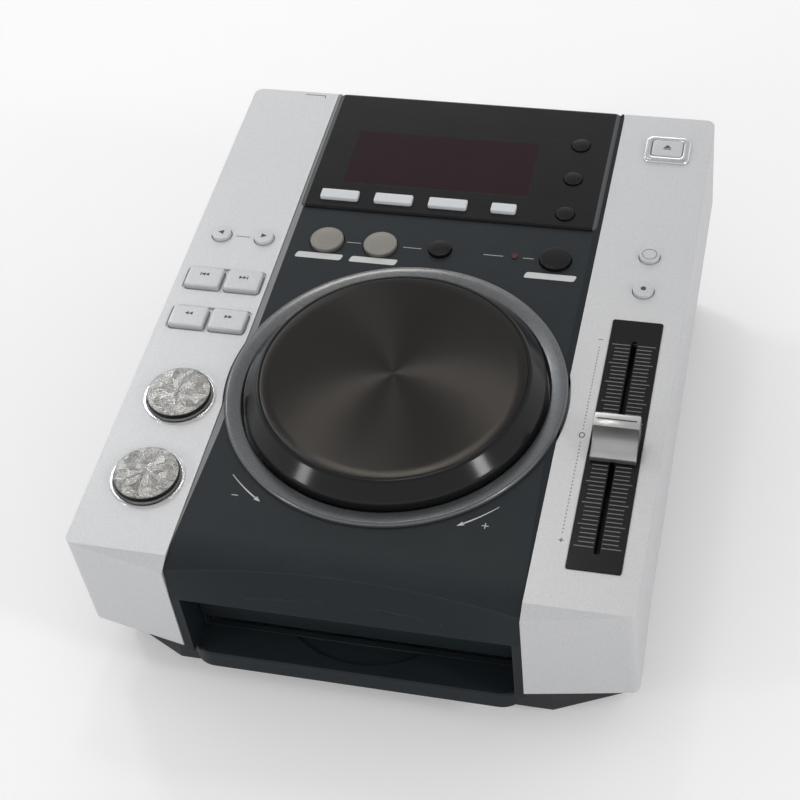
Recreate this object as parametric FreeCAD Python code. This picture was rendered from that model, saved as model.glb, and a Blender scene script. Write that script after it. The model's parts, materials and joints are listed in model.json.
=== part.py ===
import FreeCAD, Part
import math
import os
from FreeCAD import Placement, Rotation, Vector

# Compact tabletop disc player for mixing, with a slot loader under the front edge.
# Lengths are in millimetres. The deck frame has its origin at the middle of the deck's
# front edge: x to the right, y to the rear along the deck, z out of the deck.
# The desk frame has z up from the table. The deck leans towards the user.

# Overall form
deck_width = 218.0
deck_depth = 274.0
deck_front_height = 80.5
deck_lean_deg = 5.4
disc_diameter = 120.0
console_width = disc_diameter + 15.4
seam = 0.3
half_console = console_width / 2.0
cheek_inner = half_console + seam
cheek_width = deck_width / 2.0 - cheek_inner
lean = math.radians(deck_lean_deg)

# The layout of the keys is drawn for a deck of this size, and follows the deck as it is
depth_scale = deck_depth / 274.0
cheek_scale = cheek_width / 41.0
console_scale = console_width / 135.4
inner_wall_share = 0.8

# Side covers
cover_wall = 2.5
skirt_depth = 46.0
skirt_draft = 1.6
front_reach_inner = 6.6
front_lean_outer = 4.2
front_drop_inner = 49.5
front_drop_outer = 55.8
facet_drop = 3.0
corner_radius = 4.0
skirt_step_start = 14.0
skirt_step_end = 42.0

# Console plate and its apron
console_plate = 3.0
roll_start = 12.0
crease_radius = 390.0
crease_y = 0.8
mouth_top = 19.3
mouth_half_width = half_console - 3.3
mouth_depth = 13.8
console_flange = 9.0
line_half_width = 38.0
line_drop = 11.7
line_bow = 2.6
line_radius = 0.45
board_post_radius = 2.6

# Loading slot and lip
slot_floor = 55.0
slot_height = 6.0
slot_width = disc_diameter + 7.0
lip_thickness = 8.5
lip_corner = 10.0
mouth_wall = 2.5
scoop_radius = 42.0
scoop_half_width = 25.0
scoop_depth = 1.2

# Jog wheel
jog_y = 93.5 * depth_scale
well_radius = min(half_console + 2.2, 0.2551 * deck_depth)
jog_radius = well_radius - 8.9
jog_top_radius = jog_radius - 6.3
jog_height = 10.1
jog_shoulder = 3.2
jog_rim = 0.9
jog_plate_thickness = 0.6
well_crest = 2.4
well_gap = 1.1
well_floor = 6.0
well_wall = 2.0
shaft_radius = 5.0
running_gap = 0.05
bearing_wall = 4.0
bearing_length = 16.0
encoder_radius = 22.0
encoder_slots = 24

# Display panel
panel_y0 = 195.0 * depth_scale
panel_proud = 1.2
panel_seat = 0.8
panel_corner = 3.0
window_x0 = -51.0 * console_scale
window_x1 = 33.0 * console_scale
window_y0 = 212.0 * depth_scale
window_y1 = 248.0 * depth_scale
window_ledge = 2.0
window_thickness = 1.2

# Keys
key_gap = 0.35
key_travel = 1.0
key_flange = 0.6
key_flange_thickness = 1.2
key_float = 0.3
key_stem_radius = 1.8
board_depth = 12.5
board_thickness = 1.6
switch_height = 2.0
switch_side = 6.0
stem_clear = 0.3
big_key_ring = 2.0
key_proud = 1.8
big_key_proud = 2.4
panel_key_proud = panel_proud + 1.0
lamp_radius = 1.5
eject_frame_border = 3.5

# Fader
fader_plate_width = 20.4 * cheek_scale
fader_plate_y0 = 17.3 * depth_scale
fader_plate_y1 = 144.0 * depth_scale
fader_plate_thickness = 1.2
fader_plate_seat = 0.8
fader_slot_width = 2.4
fader_slot_y0 = 25.0 * depth_scale
fader_slot_y1 = 132.6 * depth_scale
fader_rest_y = 76.0 * depth_scale
knob_width = 17.8 * cheek_scale
knob_length = 15.2
knob_height = 12.4
knob_lift = 0.5
stem_width = 1.6
stem_length = 5.0
fader_body_width = 10.0 * cheek_scale
fader_body_margin = 6.0
fader_body_height = 9.0

# Base pan and rear panel
foot_height = 5.0
foot_radius = 9.0
pan_sheet = 1.5
pan_half_width = deck_width / 2.0 - 4.0
pan_front = 10.5
pan_front_half = half_console + 9.3
pan_corner_back = 14.0
pan_rear = deck_depth - 3.0
pan_wall_drop = 40.0
foot_x = pan_half_width - 17.0
foot_y0 = 34.0
foot_y1 = pan_rear - 25.0
rear_face = pan_rear - pan_sheet
rear_panel_height = deck_front_height + pan_rear * math.sin(lean) - skirt_depth * math.cos(lean) - 1.0

screw_radius = 1.4
screw_head_radius = 3.0
boss_radius = 3.4 * cheek_scale
cheek_screw_x = pan_half_width - pan_sheet - boss_radius - 0.4
cheek_screw_y = (57.0 * depth_scale, 214.0 * depth_scale)
fader_x = cheek_screw_x - boss_radius - seam - fader_body_width / 2.0
board_stand = 8.0
vent_count = 8
vent_y0 = 178.0 * depth_scale
vent_pitch = 8.0
vent_length = 60.0
vent_width = 3.0

# Disc mechanism, in the deck frame
sheet = 1.2
loader_half_width = half_console - 1.7
spindle_y = disc_diameter / 2.0 + 20.0
loader_y0 = 10.6
loader_y1 = spindle_y + disc_diameter / 2.0 + 12.0
loader_floor = 60.8
loader_wall_top = 44.0
guide_under = 46.5
guide_thickness = 1.5
guide_rib = 3.0
guide_rib_x = 40.0
roller_y = 21.5
roller_radius = 4.5
roller_drop = 59.4
roller_half_length = disc_diameter / 2.0 - 2.0
roller_waist = 0.8
roller_room = 1.0
spindle_room = 3.0
journal_radius = 1.5
rod_radius = 1.5
rod_x = 22.0
rod_reach = 3.0
tab_half = 5.0
lens_half = 15.0
rod_drop = 67.0
sled_travel = 30.0
sled_length = 26.0
sled_rest_y = spindle_y + 26.0
motor_radius = 12.0
motor_height = 10.0
platter_radius = 14.0
platter_height = 3.4

# Rear connectors, in the desk frame
phono_radius = 4.2
phono_reach = 10.0
phono_bore = 1.6
phono_nut = 2.0
phono_places = [(-30.0, 28.0), (-30.0, 42.0), (-2.0, 35.0)]
jack_body = 14.0
control_jack_place = (22.0, 35.0)
control_jack_radius = 3.2
control_jack_bore = 1.8
inlet_place = (pan_half_width - 31.0, 33.0)
inlet_width = 22.0
inlet_height = 14.0
inlet_flange = 2.0
inlet_recess = 10.0
inlet_pin_radius = 1.2
inlet_pin_pitch = 8.6
power_x = 26.0 - pan_half_width
power_z = 42.0
power_side = 9.0
power_reach = 4.0
power_hold = 6.0
power_travel = 3.0

# Inner boards, in the desk frame
board_y0 = loader_y1 + 10.0
board_y1 = pan_rear - 21.0
board_side = pan_half_width - 10.0
main_board_x1 = 36.0
power_board_x0 = 42.0
board_pillar_rows = (board_y0 + 6.0, board_y1 - 4.0)
board_pillar_columns = (-board_side + 3.5, main_board_x1 - 6.0, power_board_x0 + 4.0, board_side - 3.5)

deck_place = Placement(Vector(0, 0, deck_front_height), Rotation(Vector(1, 0, 0), deck_lean_deg))
front_face = -front_reach_inner + 0.2
mouth_back = front_face + mouth_depth
pan_floor = foot_height + pan_sheet
slot_top = slot_floor - slot_height
far = deck_width + deck_depth
cut_over = 8.0
nodes = {}


def box(x0, x1, y0, y1, z0, z1):
    return Part.makeBox(x1 - x0, y1 - y0, z1 - z0, Vector(x0, y0, z0))


def post(x, y, radius, z0, z1):
    return Part.makeCylinder(radius, z1 - z0, Vector(x, y, z0))


def rounded_outline(cx, cy, width, length, radius, z):
    """A rectangle with round corners, as a closed wire at height z."""
    x0 = cx - width / 2.0
    x1 = cx + width / 2.0
    y0 = cy - length / 2.0
    y1 = cy + length / 2.0
    edges = []
    corners = [(x1, y1, 0), (x0, y1, 90), (x0, y0, 180), (x1, y0, 270)]
    arcs = []
    for x, y, start in corners:
        ax = x - radius if start in (0, 270) else x + radius
        ay = y - radius if start in (0, 90) else y + radius
        points = []
        for angle in (start, start + 45, start + 90):
            a = math.radians(angle)
            points.append(Vector(ax + radius * math.cos(a), ay + radius * math.sin(a), z))
        arcs.append(points)
    for index, points in enumerate(arcs):
        edges.append(Part.Arc(*points).toShape())
        following = arcs[(index + 1) % 4]
        edges.append(Part.LineSegment(points[2], following[0]).toShape())
    return Part.Wire(edges)


def rounded_block(cx, cy, width, length, radius, z0, z1):
    face = Part.Face(rounded_outline(cx, cy, width, length, radius, z0))
    return face.extrude(Vector(0, 0, z1 - z0))


def turned(points, x=0.0, y=0.0):
    """A closed profile of (radius, height) points turned about an upright axis at x, y."""
    wire = Part.makePolygon([Vector(r, 0, z) for r, z in points + points[:1]])
    solid = Part.Face(wire).revolve(Vector(0, 0, 0), Vector(0, 0, 1), 360)
    solid.translate(Vector(x, y, 0))
    return solid


def side_cut(points, x0, x1):
    """A closed outline of (y, z) points carried along x from x0 to x1."""
    wire = Part.makePolygon([Vector(x0, y, z) for y, z in points + points[:1]])
    return Part.Face(wire).extrude(Vector(x1 - x0, 0, 0))


def joined(first, others):
    return first.fuse(list(others)).removeSplitter()


def without(shape, cutters):
    return shape.cut(list(cutters))


def on_deck(shape):
    """Carries a shape from the deck frame to the desk frame."""
    moved = shape.copy()
    moved.transformShape(deck_place.toMatrix(), True)
    return moved


def deck_slab(z0, z1):
    """All the space between two planes parallel to the deck, in the desk frame."""
    return on_deck(box(-far, far, -far, far, z0, z1))


def mirrored(shape):
    return shape.mirror(Vector(0, 0, 0), Vector(1, 0, 0))


# Side covers: a drafted envelope, a bevelled front corner and an open underside

def cheek_outline(z, inset):
    """The right cover's plan outline at depth z under the deck, drawn in by inset."""
    share = -z / (front_drop_outer + 4.0)
    outer = deck_width / 2.0 + skirt_draft * share - inset
    inner = cheek_inner + inset * inner_wall_share
    rear = deck_depth - inset
    front_inner = -front_reach_inner - 0.4 * share + inset * 1.05
    front_outer = front_lean_outer * share + inset * 1.05
    radius = max(corner_radius - inset, 1.2)
    slope = math.atan2(front_outer - front_inner, outer - inner)
    trim = radius * math.tan((math.pi / 2.0 - slope) / 2.0)
    start = Vector(outer - trim * math.cos(slope), front_outer - trim * math.sin(slope), z)
    end = Vector(outer, front_outer + trim, z)
    centre = Vector(outer - radius, front_outer + trim, z)
    middle_angle = (-math.pi / 2.0 + slope) / 2.0
    middle = centre + Vector(radius * math.cos(middle_angle), radius * math.sin(middle_angle), 0)
    rear_start = Vector(outer, rear - radius, z)
    rear_end = Vector(outer - radius, rear, z)
    half = radius * math.sqrt(0.5)
    rear_middle = Vector(outer - radius + half, rear - radius + half, z)
    inner_rear = Vector(inner, rear, z)
    inner_front = Vector(inner, front_inner, z)
    edges = [
        Part.LineSegment(inner_front, start).toShape(),
        Part.Arc(start, middle, end).toShape(),
        Part.LineSegment(end, rear_start).toShape(),
        Part.Arc(rear_start, rear_middle, rear_end).toShape(),
        Part.LineSegment(rear_end, inner_rear).toShape(),
        Part.LineSegment(inner_rear, inner_front).toShape(),
    ]
    return Part.Wire(edges)


def cheek_envelope(inset, top):
    low = -(front_drop_outer + 4.0)
    return Part.makeLoft([cheek_outline(top, inset), cheek_outline(low, inset)], True, True)


def facet_cutter(offset):
    """Everything above the sloping bevel that runs along the deck's front edge."""
    slope = facet_drop / front_reach_inner
    reach = 40.0
    behind = -offset if offset else reach
    points = [(reach, reach), (-reach, reach), (-reach, -reach * slope - offset), (0, -offset), (reach, behind)]
    return side_cut(points, 0, deck_width)


def skirt_cutter():
    """Everything under the cover's lower edge, which drops lower at the front corner."""
    outlines = []
    for x, drop in ((cheek_inner - 8.0, front_drop_inner), (deck_width / 2.0 + 4.0, front_drop_outer)):
        points = [
            (-far, -far),
            (-far, -drop),
            (skirt_step_start, -drop),
            (skirt_step_end, -skirt_depth),
            (far, -skirt_depth),
            (far, -far),
        ]
        outlines.append(Part.makePolygon([Vector(x, y, z) for y, z in points + points[:1]]))
    return Part.makeLoft(outlines, True, True)


def cheek_blank():
    outer = without(cheek_envelope(0.0, 0.0), [facet_cutter(0.0), skirt_cutter()])
    hollow = without(cheek_envelope(cover_wall, -cover_wall), [facet_cutter(cover_wall)])
    well = post(0, jog_y, well_radius + seam, -4.0, 10.0)
    return without(outer, [hollow, well])


def screw_boss(x, y):
    """An upright boss from the pan's floor to the cover, in the desk frame."""
    outer = post(x, y, boss_radius, pan_floor, deck_front_height + deck_depth)
    return outer.cut(deck_slab(-cover_wall + 0.2, far))


# Keys: a cap through the cover, a flange that keeps it in and a stem to its switch

def stem_foot():
    return -(board_depth - switch_height - key_travel - stem_clear)


def round_key(x, y, radius, proud, plate, dome=0.0):
    flange_top = -plate - key_float
    flange_low = flange_top - key_flange_thickness
    edge = min(0.5, radius * 0.12)
    cap = post(x, y, radius, flange_low, proud)
    cap = cap.makeChamfer(edge, [e for e in cap.Edges if abs(e.BoundBox.ZMin - proud) < 0.01
                                 and abs(e.BoundBox.ZMax - proud) < 0.01])
    flange = post(x, y, radius + key_flange, flange_low, flange_top)
    stem = post(x, y, key_stem_radius, stem_foot(), flange_low)
    parts = [flange, stem]
    if dome:
        sphere_radius = ((radius - edge) ** 2 + dome ** 2) / (2.0 * dome)
        ball = Part.makeSphere(sphere_radius, Vector(x, y, proud + dome - sphere_radius))
        parts.append(ball.common(post(x, y, radius - edge, proud - 0.2, proud + dome + 1)))
    return joined(cap, parts)


def square_key(x, y, width, length, proud, plate, corner=1.2, bevel=0.6):
    flange_top = -plate - key_float
    flange_low = flange_top - key_flange_thickness
    body = rounded_block(x, y, width, length, corner, flange_low, proud - bevel)
    low = rounded_outline(x, y, width, length, corner, proud - bevel)
    high = rounded_outline(x, y, width - 2 * bevel, length - 2 * bevel, corner * 0.6, proud)
    cap = Part.makeLoft([low, high], True, True)
    flange = rounded_block(x, y, width + 2 * key_flange, length + 2 * key_flange, corner, flange_low, flange_top)
    stem = post(x, y, key_stem_radius, stem_foot(), flange_low)
    return joined(body, [cap, flange, stem])


def round_hole(x, y, radius):
    return post(x, y, radius + key_gap, -cut_over, cut_over)


def square_hole(x, y, width, length, corner=1.2):
    return rounded_block(x, y, width + 2 * key_gap, length + 2 * key_gap, corner + key_gap, -cut_over, cut_over)


def cover_x(x):
    """Carries a drawn place across a side cover to the cover as it is."""
    return math.copysign(cheek_inner + (abs(x) - 68.0) * cheek_scale, x)


def cover_place(x, y):
    return cover_x(x), y * depth_scale


def console_place(x, y):
    return x * console_scale, y * depth_scale


square_key_width = 15.4 * cheek_scale
square_key_length = 11.4
square_key_rows = (144.8, 121.2)
big_key_radius = 11.8 * cheek_scale
left_round_keys = {
    "folder_back_key": (*cover_place(-96.6, 172.6), 4.3),
    "folder_forward_key": (*cover_place(-77.1, 172.6), 4.3),
}
left_square_keys = {
    "track_back_key": (*cover_place(-96.2, square_key_rows[0]), square_key_width, square_key_length),
    "track_forward_key": (*cover_place(-78.6, square_key_rows[0]), square_key_width, square_key_length),
    "search_back_key": (*cover_place(-96.2, square_key_rows[1]), square_key_width, square_key_length),
    "search_forward_key": (*cover_place(-78.6, square_key_rows[1]), square_key_width, square_key_length),
}
left_big_keys = {
    "cue_key": (*cover_place(-86.6, 77.8), big_key_radius),
    "play_key": (*cover_place(-86.6, 35.1), big_key_radius),
}
right_round_keys = {
    "tempo_range_key": (*cover_place(90.7, 182.4), 4.3),
    "master_tempo_key": (*cover_place(90.7, 161.8), 4.3),
}
eject_key = (*cover_place(90.0, 251.0), 13.6 * cheek_scale, 10.4)
loop_keys = {
    "loop_in_key": (*console_place(-48.9, 174.8), 7.4),
    "loop_out_key": (*console_place(-24.9, 174.8), 7.4),
    "reloop_key": (*console_place(1.5, 175.2), 4.8),
    "beat_loop_key": (*console_place(51.7, 175.4), 6.7),
}
panel_round_keys = {
    "text_key": (*console_place(51.5, 248.5), 4.0),
    "time_key": (*console_place(51.5, 225.8), 4.0),
    "auto_cue_key": (*console_place(51.5, 202.9), 4.0),
}
panel_bar_keys = {
    "effect_left_key": (*console_place(-49.8, 202.7), 17.2, 5.6),
    "effect_middle_key": (*console_place(-25.2, 202.7), 17.2, 5.6),
    "effect_right_key": (*console_place(-0.6, 202.7), 17.2, 5.6),
    "hold_key": (*console_place(24.4, 202.7), 11.0, 5.2),
}
lamp_place = console_place(34.0, 175.5)
left_board_posts = [cover_place(-76.0, 56.0), cover_place(-86.8, 181.0)]
right_board_posts = [cover_place(79.0, 157.0), cover_place(79.0, 258.0)]
control_posts = [console_place(x, y) for x in (-60.0, 62.0) for y in (170.0, 258.0)]


def left_cheek():
    shape = mirrored(cheek_blank())
    cutters = [round_hole(x, y, r) for x, y, r in left_round_keys.values()]
    cutters += [square_hole(*size) for size in left_square_keys.values()]
    cutters += [round_hole(x, y, r) for x, y, r in left_big_keys.values()]
    for row in square_key_rows:
        x, y = cover_place(-87.4, row)
        recess_width = 2.0 * square_key_width + 4.6 * cheek_scale
        cutters.append(rounded_block(x, y, recess_width, square_key_length + 2.8, 2.6, -0.9, cut_over))
    return cheek_finished(without(shape, cutters), -1, left_board_posts)


def cheek_finished(shape, side, board_posts):
    """Adds the board posts and the screw bosses, and carries the cover to the desk frame."""
    for x, y in board_posts:
        shape = shape.fuse(post(x, y, board_post_radius, -board_depth, -cover_wall + 0.2))
    placed = on_deck(shape)
    for y in cheek_screw_y:
        placed = placed.fuse(screw_boss(side * cheek_screw_x, y))
        placed = placed.cut(post(side * cheek_screw_x, y, screw_radius + running_gap, 0.0, pan_floor + 12.0))
    return placed.removeSplitter()


def right_cheek():
    shape = cheek_blank()
    cutters = [round_hole(x, y, r) for x, y, r in right_round_keys.values()]
    cutters.append(square_hole(*eject_key))
    plate_length = fader_plate_y1 - fader_plate_y0
    plate_y = (fader_plate_y1 + fader_plate_y0) / 2.0
    cutters.append(rounded_block(fader_x, plate_y, fader_plate_width + 0.2, plate_length + 0.2, 1.0,
                                 -fader_plate_seat, cut_over))
    cutters.append(box(fader_x - fader_slot_width, fader_x + fader_slot_width,
                       fader_slot_y0 - 1.0, fader_slot_y1 + 1.0, -cut_over, cut_over))
    return cheek_finished(without(shape, cutters), 1, right_board_posts)


def apron_point(x, z):
    """A point of the apron, whose straight lines run from the bowed crease to the mouth's edge."""
    share = -z / mouth_top
    bow = crease_radius - math.sqrt(crease_radius ** 2 - x ** 2)
    return Vector(x, (crease_y - bow) * (1.0 - share) + front_face * share, z)


def apron_cutter():
    """Everything in front of the apron, from the mouth's straight edge up to the bowed crease."""
    reach = half_console + 2.0
    wires = []
    for z in (-mouth_top, 0.0):
        left, middle, right = [apron_point(x, z) for x in (-reach, 0.0, reach)]
        if z:
            edge = Part.LineSegment(right, left)
        else:
            edge = Part.Arc(right, middle, left)
        corners = [left, Vector(-reach, -far, z), Vector(reach, -far, z), right]
        edges = [Part.LineSegment(a, b).toShape() for a, b in zip(corners, corners[1:])]
        wires.append(Part.Wire(edges + [edge.toShape()]))
    above = Part.Face(wires[1]).extrude(Vector(0, 0, cut_over))
    return [Part.makeLoft(wires, True, True), above]


def apron_line():
    """The thin raised bead on the apron, a short bow above the mouth."""
    ends = [apron_point(side * line_half_width, -line_drop - line_bow) for side in (-1, 1)]
    arc = Part.Arc(ends[0], apron_point(0.0, -line_drop), ends[1])
    circle = Part.Wire(Part.makeCircle(line_radius, ends[0], arc.tangent(arc.FirstParameter)[0]))
    return Part.Wire(arc.toShape()).makePipeShell([circle], True, False)


def console_cover():
    """The dark middle plate: it rolls over at the front into an apron above the mouth."""
    roll_reach = roll_start - front_face
    roll_middle_y = roll_start - roll_reach * 0.5
    roll_middle_z = -facet_drop * 0.25
    top = [
        Vector(-half_console, deck_depth, 0),
        Vector(-half_console, roll_start, 0),
        Vector(-half_console, roll_middle_y, roll_middle_z),
        Vector(-half_console, front_face, -facet_drop),
    ]
    low = [
        Vector(-half_console, front_face, -mouth_top),
        Vector(-half_console, front_face + cover_wall, -mouth_top),
        Vector(-half_console, crease_y + cover_wall + seam, -console_plate - 0.6),
        Vector(-half_console, roll_start + 6.0, -console_plate),
        Vector(-half_console, deck_depth - cover_wall, -console_plate),
        Vector(-half_console, deck_depth - cover_wall, -skirt_depth),
        Vector(-half_console, deck_depth, -skirt_depth),
    ]
    edges = [
        Part.LineSegment(top[0], top[1]).toShape(),
        Part.Arc(top[1], top[2], top[3]).toShape(),
    ]
    run = [top[3]] + low + [top[0]]
    for start, end in zip(run, run[1:]):
        edges.append(Part.LineSegment(start, end).toShape())
    plate = Part.Face(Part.Wire(edges)).extrude(Vector(console_width, 0, 0))
    pieces = []
    for x in (-half_console, mouth_half_width):
        width = half_console - mouth_half_width
        jamb = box(x, x + width, front_face, mouth_back, -slot_floor, -console_flange + 1.0)
        pieces.append(jamb)
        lower = box(x, x + width, front_face + cover_wall, deck_depth - 1.0, -console_flange, -1.0)
        under_roll = [(-9, 1), (-9, -console_flange - 1), (0, -console_flange - 1), (12, -1.0), (12, 1)]
        roll_clear = side_cut(under_roll, x - 1, x + width + 1)
        pieces.append(lower.cut(roll_clear))
    solid = joined(plate, pieces)
    cutters = apron_cutter() + [post(0, jog_y, jog_radius + well_gap + well_wall + 0.2, -20, 20)]
    panel_length = deck_depth - panel_y0
    cutters.append(rounded_block(0, panel_y0 + panel_length / 2.0 + panel_corner, console_width - 2.4,
                                 panel_length + 2 * panel_corner, panel_corner, -panel_seat, cut_over))
    cutters += [round_hole(x, y, r) for x, y, r in loop_keys.values()]
    cutters += [round_hole(x, y, r) for x, y, r in panel_round_keys.values()]
    cutters += [square_hole(*size) for size in panel_bar_keys.values()]
    cutters.append(post(*lamp_place, lamp_radius, -cut_over, cut_over))
    cutters.append(window_hole())
    solid = without(solid, cutters)
    for x, y in control_posts:
        solid = solid.fuse(post(x, y, board_post_radius, -board_depth, -console_plate + 0.2))
    return on_deck(solid.fuse(apron_line()).removeSplitter())


def window_hole():
    """The hole under the window, smaller than it by a ledge all round."""
    return box(window_x0 + window_ledge, window_x1 - window_ledge, window_y0 + window_ledge,
               window_y1 - window_ledge, -cut_over, cut_over)


def display_panel():
    """The near-black panel at the rear of the console, with openings for its keys."""
    length = deck_depth - 0.6 - panel_y0
    middle = panel_y0 + length / 2.0
    width = console_width - 2.6
    body = rounded_block(0, middle, width, length, panel_corner, -panel_seat, panel_proud - 0.6)
    low = rounded_outline(0, middle, width, length, panel_corner, panel_proud - 0.6)
    high = rounded_outline(0, middle, width - 1.6, length - 1.6, panel_corner - 0.6, panel_proud)
    body = joined(body, [Part.makeLoft([low, high], True, True)])
    cutters = [round_hole(x, y, r) for x, y, r in panel_round_keys.values()]
    cutters += [square_hole(*size) for size in panel_bar_keys.values()]
    cutters.append(window_hole())
    cutters.append(rounded_block(*window_middle(), window_x1 - window_x0, window_y1 - window_y0, 1.5,
                                 panel_proud - window_thickness, cut_over))
    return on_deck(without(body, cutters))


def window_middle():
    return (window_x0 + window_x1) / 2.0, (window_y0 + window_y1) / 2.0


def display_window():
    x, y = window_middle()
    return on_deck(rounded_block(x, y, window_x1 - window_x0 - 0.2, window_y1 - window_y0 - 0.2, 1.4,
                                 panel_proud - window_thickness, panel_proud))


def display_module():
    x, y = window_middle()
    glass = box(window_x0 + 3, window_x1 - 3, window_y0 + 3, window_y1 - 3, -console_plate - 4.0,
                panel_proud - window_thickness)
    legs = box(x - 30, x + 30, y - 12, y + 12, -board_depth, -console_plate - 4.0)
    return on_deck(joined(glass, [legs]))


def jog_well():
    """The satin ring round the jog wheel, with the dish under the wheel."""
    inner = jog_radius + well_gap
    profile = [
        (well_radius, 0.0),
        (well_radius, 0.6),
        (well_radius - 0.9, 1.7),
        (well_radius - 2.2, well_crest),
        (well_radius - 4.0, well_crest - 0.1),
        (inner + 1.0, 0.9),
        (inner, 0.0),
        (inner, -well_floor + well_wall),
        (shaft_radius + bearing_wall + 0.2, -well_floor + well_wall),
        (shaft_radius + bearing_wall + 0.2, -well_floor),
        (inner + well_wall, -well_floor),
        (inner + well_wall, 0.0),
    ]
    return on_deck(turned(profile, 0, jog_y))


def jog_wheel():
    """The glossy wheel: a conical rim round the top plate, hollow underneath."""
    web = jog_height - 2.6
    hub = shaft_radius + 4.0
    profile = [
        (0, web),
        (0, jog_height - jog_plate_thickness),
        (jog_top_radius - 0.9, jog_height - jog_plate_thickness),
        (jog_top_radius - 0.9, jog_height),
        (jog_top_radius, jog_height),
        (jog_top_radius + 0.7, jog_height - 0.5),
        (jog_radius - 0.5, jog_shoulder + jog_rim),
        (jog_radius, jog_shoulder),
        (jog_radius, -1.2),
        (jog_radius - 2.2, -1.2),
        (jog_radius - 2.2, jog_shoulder),
        (jog_top_radius - 2.0, web),
        (hub, web),
        (hub, 0.0),
        (shaft_radius, 0.0),
        (shaft_radius, web),
    ]
    return on_deck(turned(profile, 0, jog_y))


def jog_plate():
    radius = jog_top_radius - 1.0
    profile = [
        (0, jog_height - jog_plate_thickness),
        (0, jog_height),
        (radius - 0.3, jog_height),
        (radius, jog_height - 0.2),
        (radius, jog_height - jog_plate_thickness),
    ]
    return on_deck(turned(profile, 0, jog_y))


def bearing_low():
    return -well_floor - bearing_length


def jog_shaft():
    """The steel shaft, with the slotted wheel that its light gate reads."""
    web = jog_height - 2.6
    low = bearing_low() - 4.0
    shaft = post(0, jog_y, shaft_radius, low, web)
    disc = post(0, jog_y, encoder_radius, low, low + 1.0)
    slots = []
    for index in range(encoder_slots):
        slot = box(encoder_radius - 4.0, encoder_radius - 1.2, -0.9, 0.9, low - 1, low + 2)
        slot.rotate(Vector(0, 0, 0), Vector(0, 0, 1), index * 360.0 / encoder_slots)
        slot.translate(Vector(0, jog_y, 0))
        slots.append(slot)
    return on_deck(joined(shaft, [disc]).cut(slots))


def jog_bearing():
    bore = shaft_radius + running_gap
    outer = shaft_radius + bearing_wall
    profile = [
        (bore, bearing_low()),
        (bore, -well_floor + well_wall),
        (outer, -well_floor + well_wall),
        (outer, -well_floor),
        (outer + 8.0, -well_floor),
        (outer + 8.0, -well_floor - 2.0),
        (outer, -well_floor - 2.0),
        (outer, bearing_low()),
    ]
    return on_deck(turned(profile, 0, jog_y))


# Mouth of the slot loader

def slot_frame():
    """The dark surround inside the mouth: a roof, two sides and the wall with the slot."""
    half = mouth_half_width - 0.2
    front = front_face + cover_wall + 1.3
    roof = box(-half, half, front, mouth_back, -mouth_top, -mouth_top + mouth_wall)
    behind = mouth_back + mouth_wall
    back = box(-half, half, mouth_back, behind, -slot_floor - lip_thickness, -mouth_top + mouth_wall)
    slot = box(-slot_width / 2.0, slot_width / 2.0, mouth_back - 1, behind + 1, -slot_floor, -slot_top)
    return on_deck(joined(roof, [back]).cut(slot))


def loading_lip():
    """The lip that a disc is laid on, with round front corners and a finger scoop."""
    half = half_console - 0.1
    depth = mouth_back - front_face
    plate = rounded_block(0, front_face + depth, 2 * half, 2 * depth, lip_corner, -slot_floor - lip_thickness,
                          -slot_floor)
    plate = plate.common(box(-half, half, front_face - 1, mouth_back, -100, 0))
    edges = []
    for edge in plate.Edges:
        bounds = edge.BoundBox
        if abs(bounds.ZMin + slot_floor) < 0.01 and abs(bounds.ZMax + slot_floor) < 0.01:
            if bounds.YMin < mouth_back - 2.0 and bounds.YMax < mouth_back - 0.5:
                edges.append(edge)
    plate = plate.makeChamfer(0.7, edges)
    rise = scoop_radius - math.sqrt(scoop_radius ** 2 - scoop_half_width ** 2)
    scoop = post(0, mouth_back + scoop_radius - rise - 1.0, scoop_radius, -slot_floor - scoop_depth, 0)
    return on_deck(plate.cut(scoop))


# Trim on the covers

def key_rings():
    rings = []
    for x, y, r in left_big_keys.values():
        outer = r + big_key_ring
        band = turned([(r + key_gap, 0), (r + key_gap, 1.5), (r + 0.8, 1.9), (outer - 0.7, 1.7),
                       (outer, 0.9), (outer, 0)], x, y)
        rings.append(band)
    return on_deck(Part.makeCompound(rings))


def eject_frame():
    """The raised frame round the disc key, with its sloping edge."""
    x, y, width, length = eject_key
    frame_width = width + 2.0 * eject_frame_border
    frame_length = length + 2.0 * eject_frame_border
    outer = rounded_block(x, y, frame_width, frame_length, 3.4, 0, 0.6)
    low = rounded_outline(x, y, frame_width, frame_length, 3.4, 0.6)
    high = rounded_outline(x, y, frame_width - 1.6, frame_length - 1.6, 2.8, 1.4)
    shape = joined(outer, [Part.makeLoft([low, high], True, True)])
    return on_deck(shape.cut(square_hole(x, y, width, length, 1.6)))


def fader_plate():
    length = fader_plate_y1 - fader_plate_y0
    middle = (fader_plate_y1 + fader_plate_y0) / 2.0
    plate = rounded_block(fader_x, middle, fader_plate_width, length, 0.9, -fader_plate_seat,
                          fader_plate_thickness - fader_plate_seat)
    slot = rounded_block(fader_x, (fader_slot_y0 + fader_slot_y1) / 2.0, fader_slot_width,
                         fader_slot_y1 - fader_slot_y0, fader_slot_width * 0.45, -cut_over, cut_over)
    return on_deck(plate.cut(slot))


def fader_body():
    half = fader_body_width / 2.0
    low = -cover_wall - fader_body_height
    front = fader_slot_y0 - fader_body_margin
    back = fader_slot_y1 + fader_body_margin
    body = box(fader_x - half, fader_x + half, front, back, low, -cover_wall)
    channel_half = fader_slot_width / 2.0
    channel = box(fader_x - channel_half, fader_x + channel_half, fader_slot_y0, fader_slot_y1, low + 1.5, 0)
    return on_deck(body.cut(channel))


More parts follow.
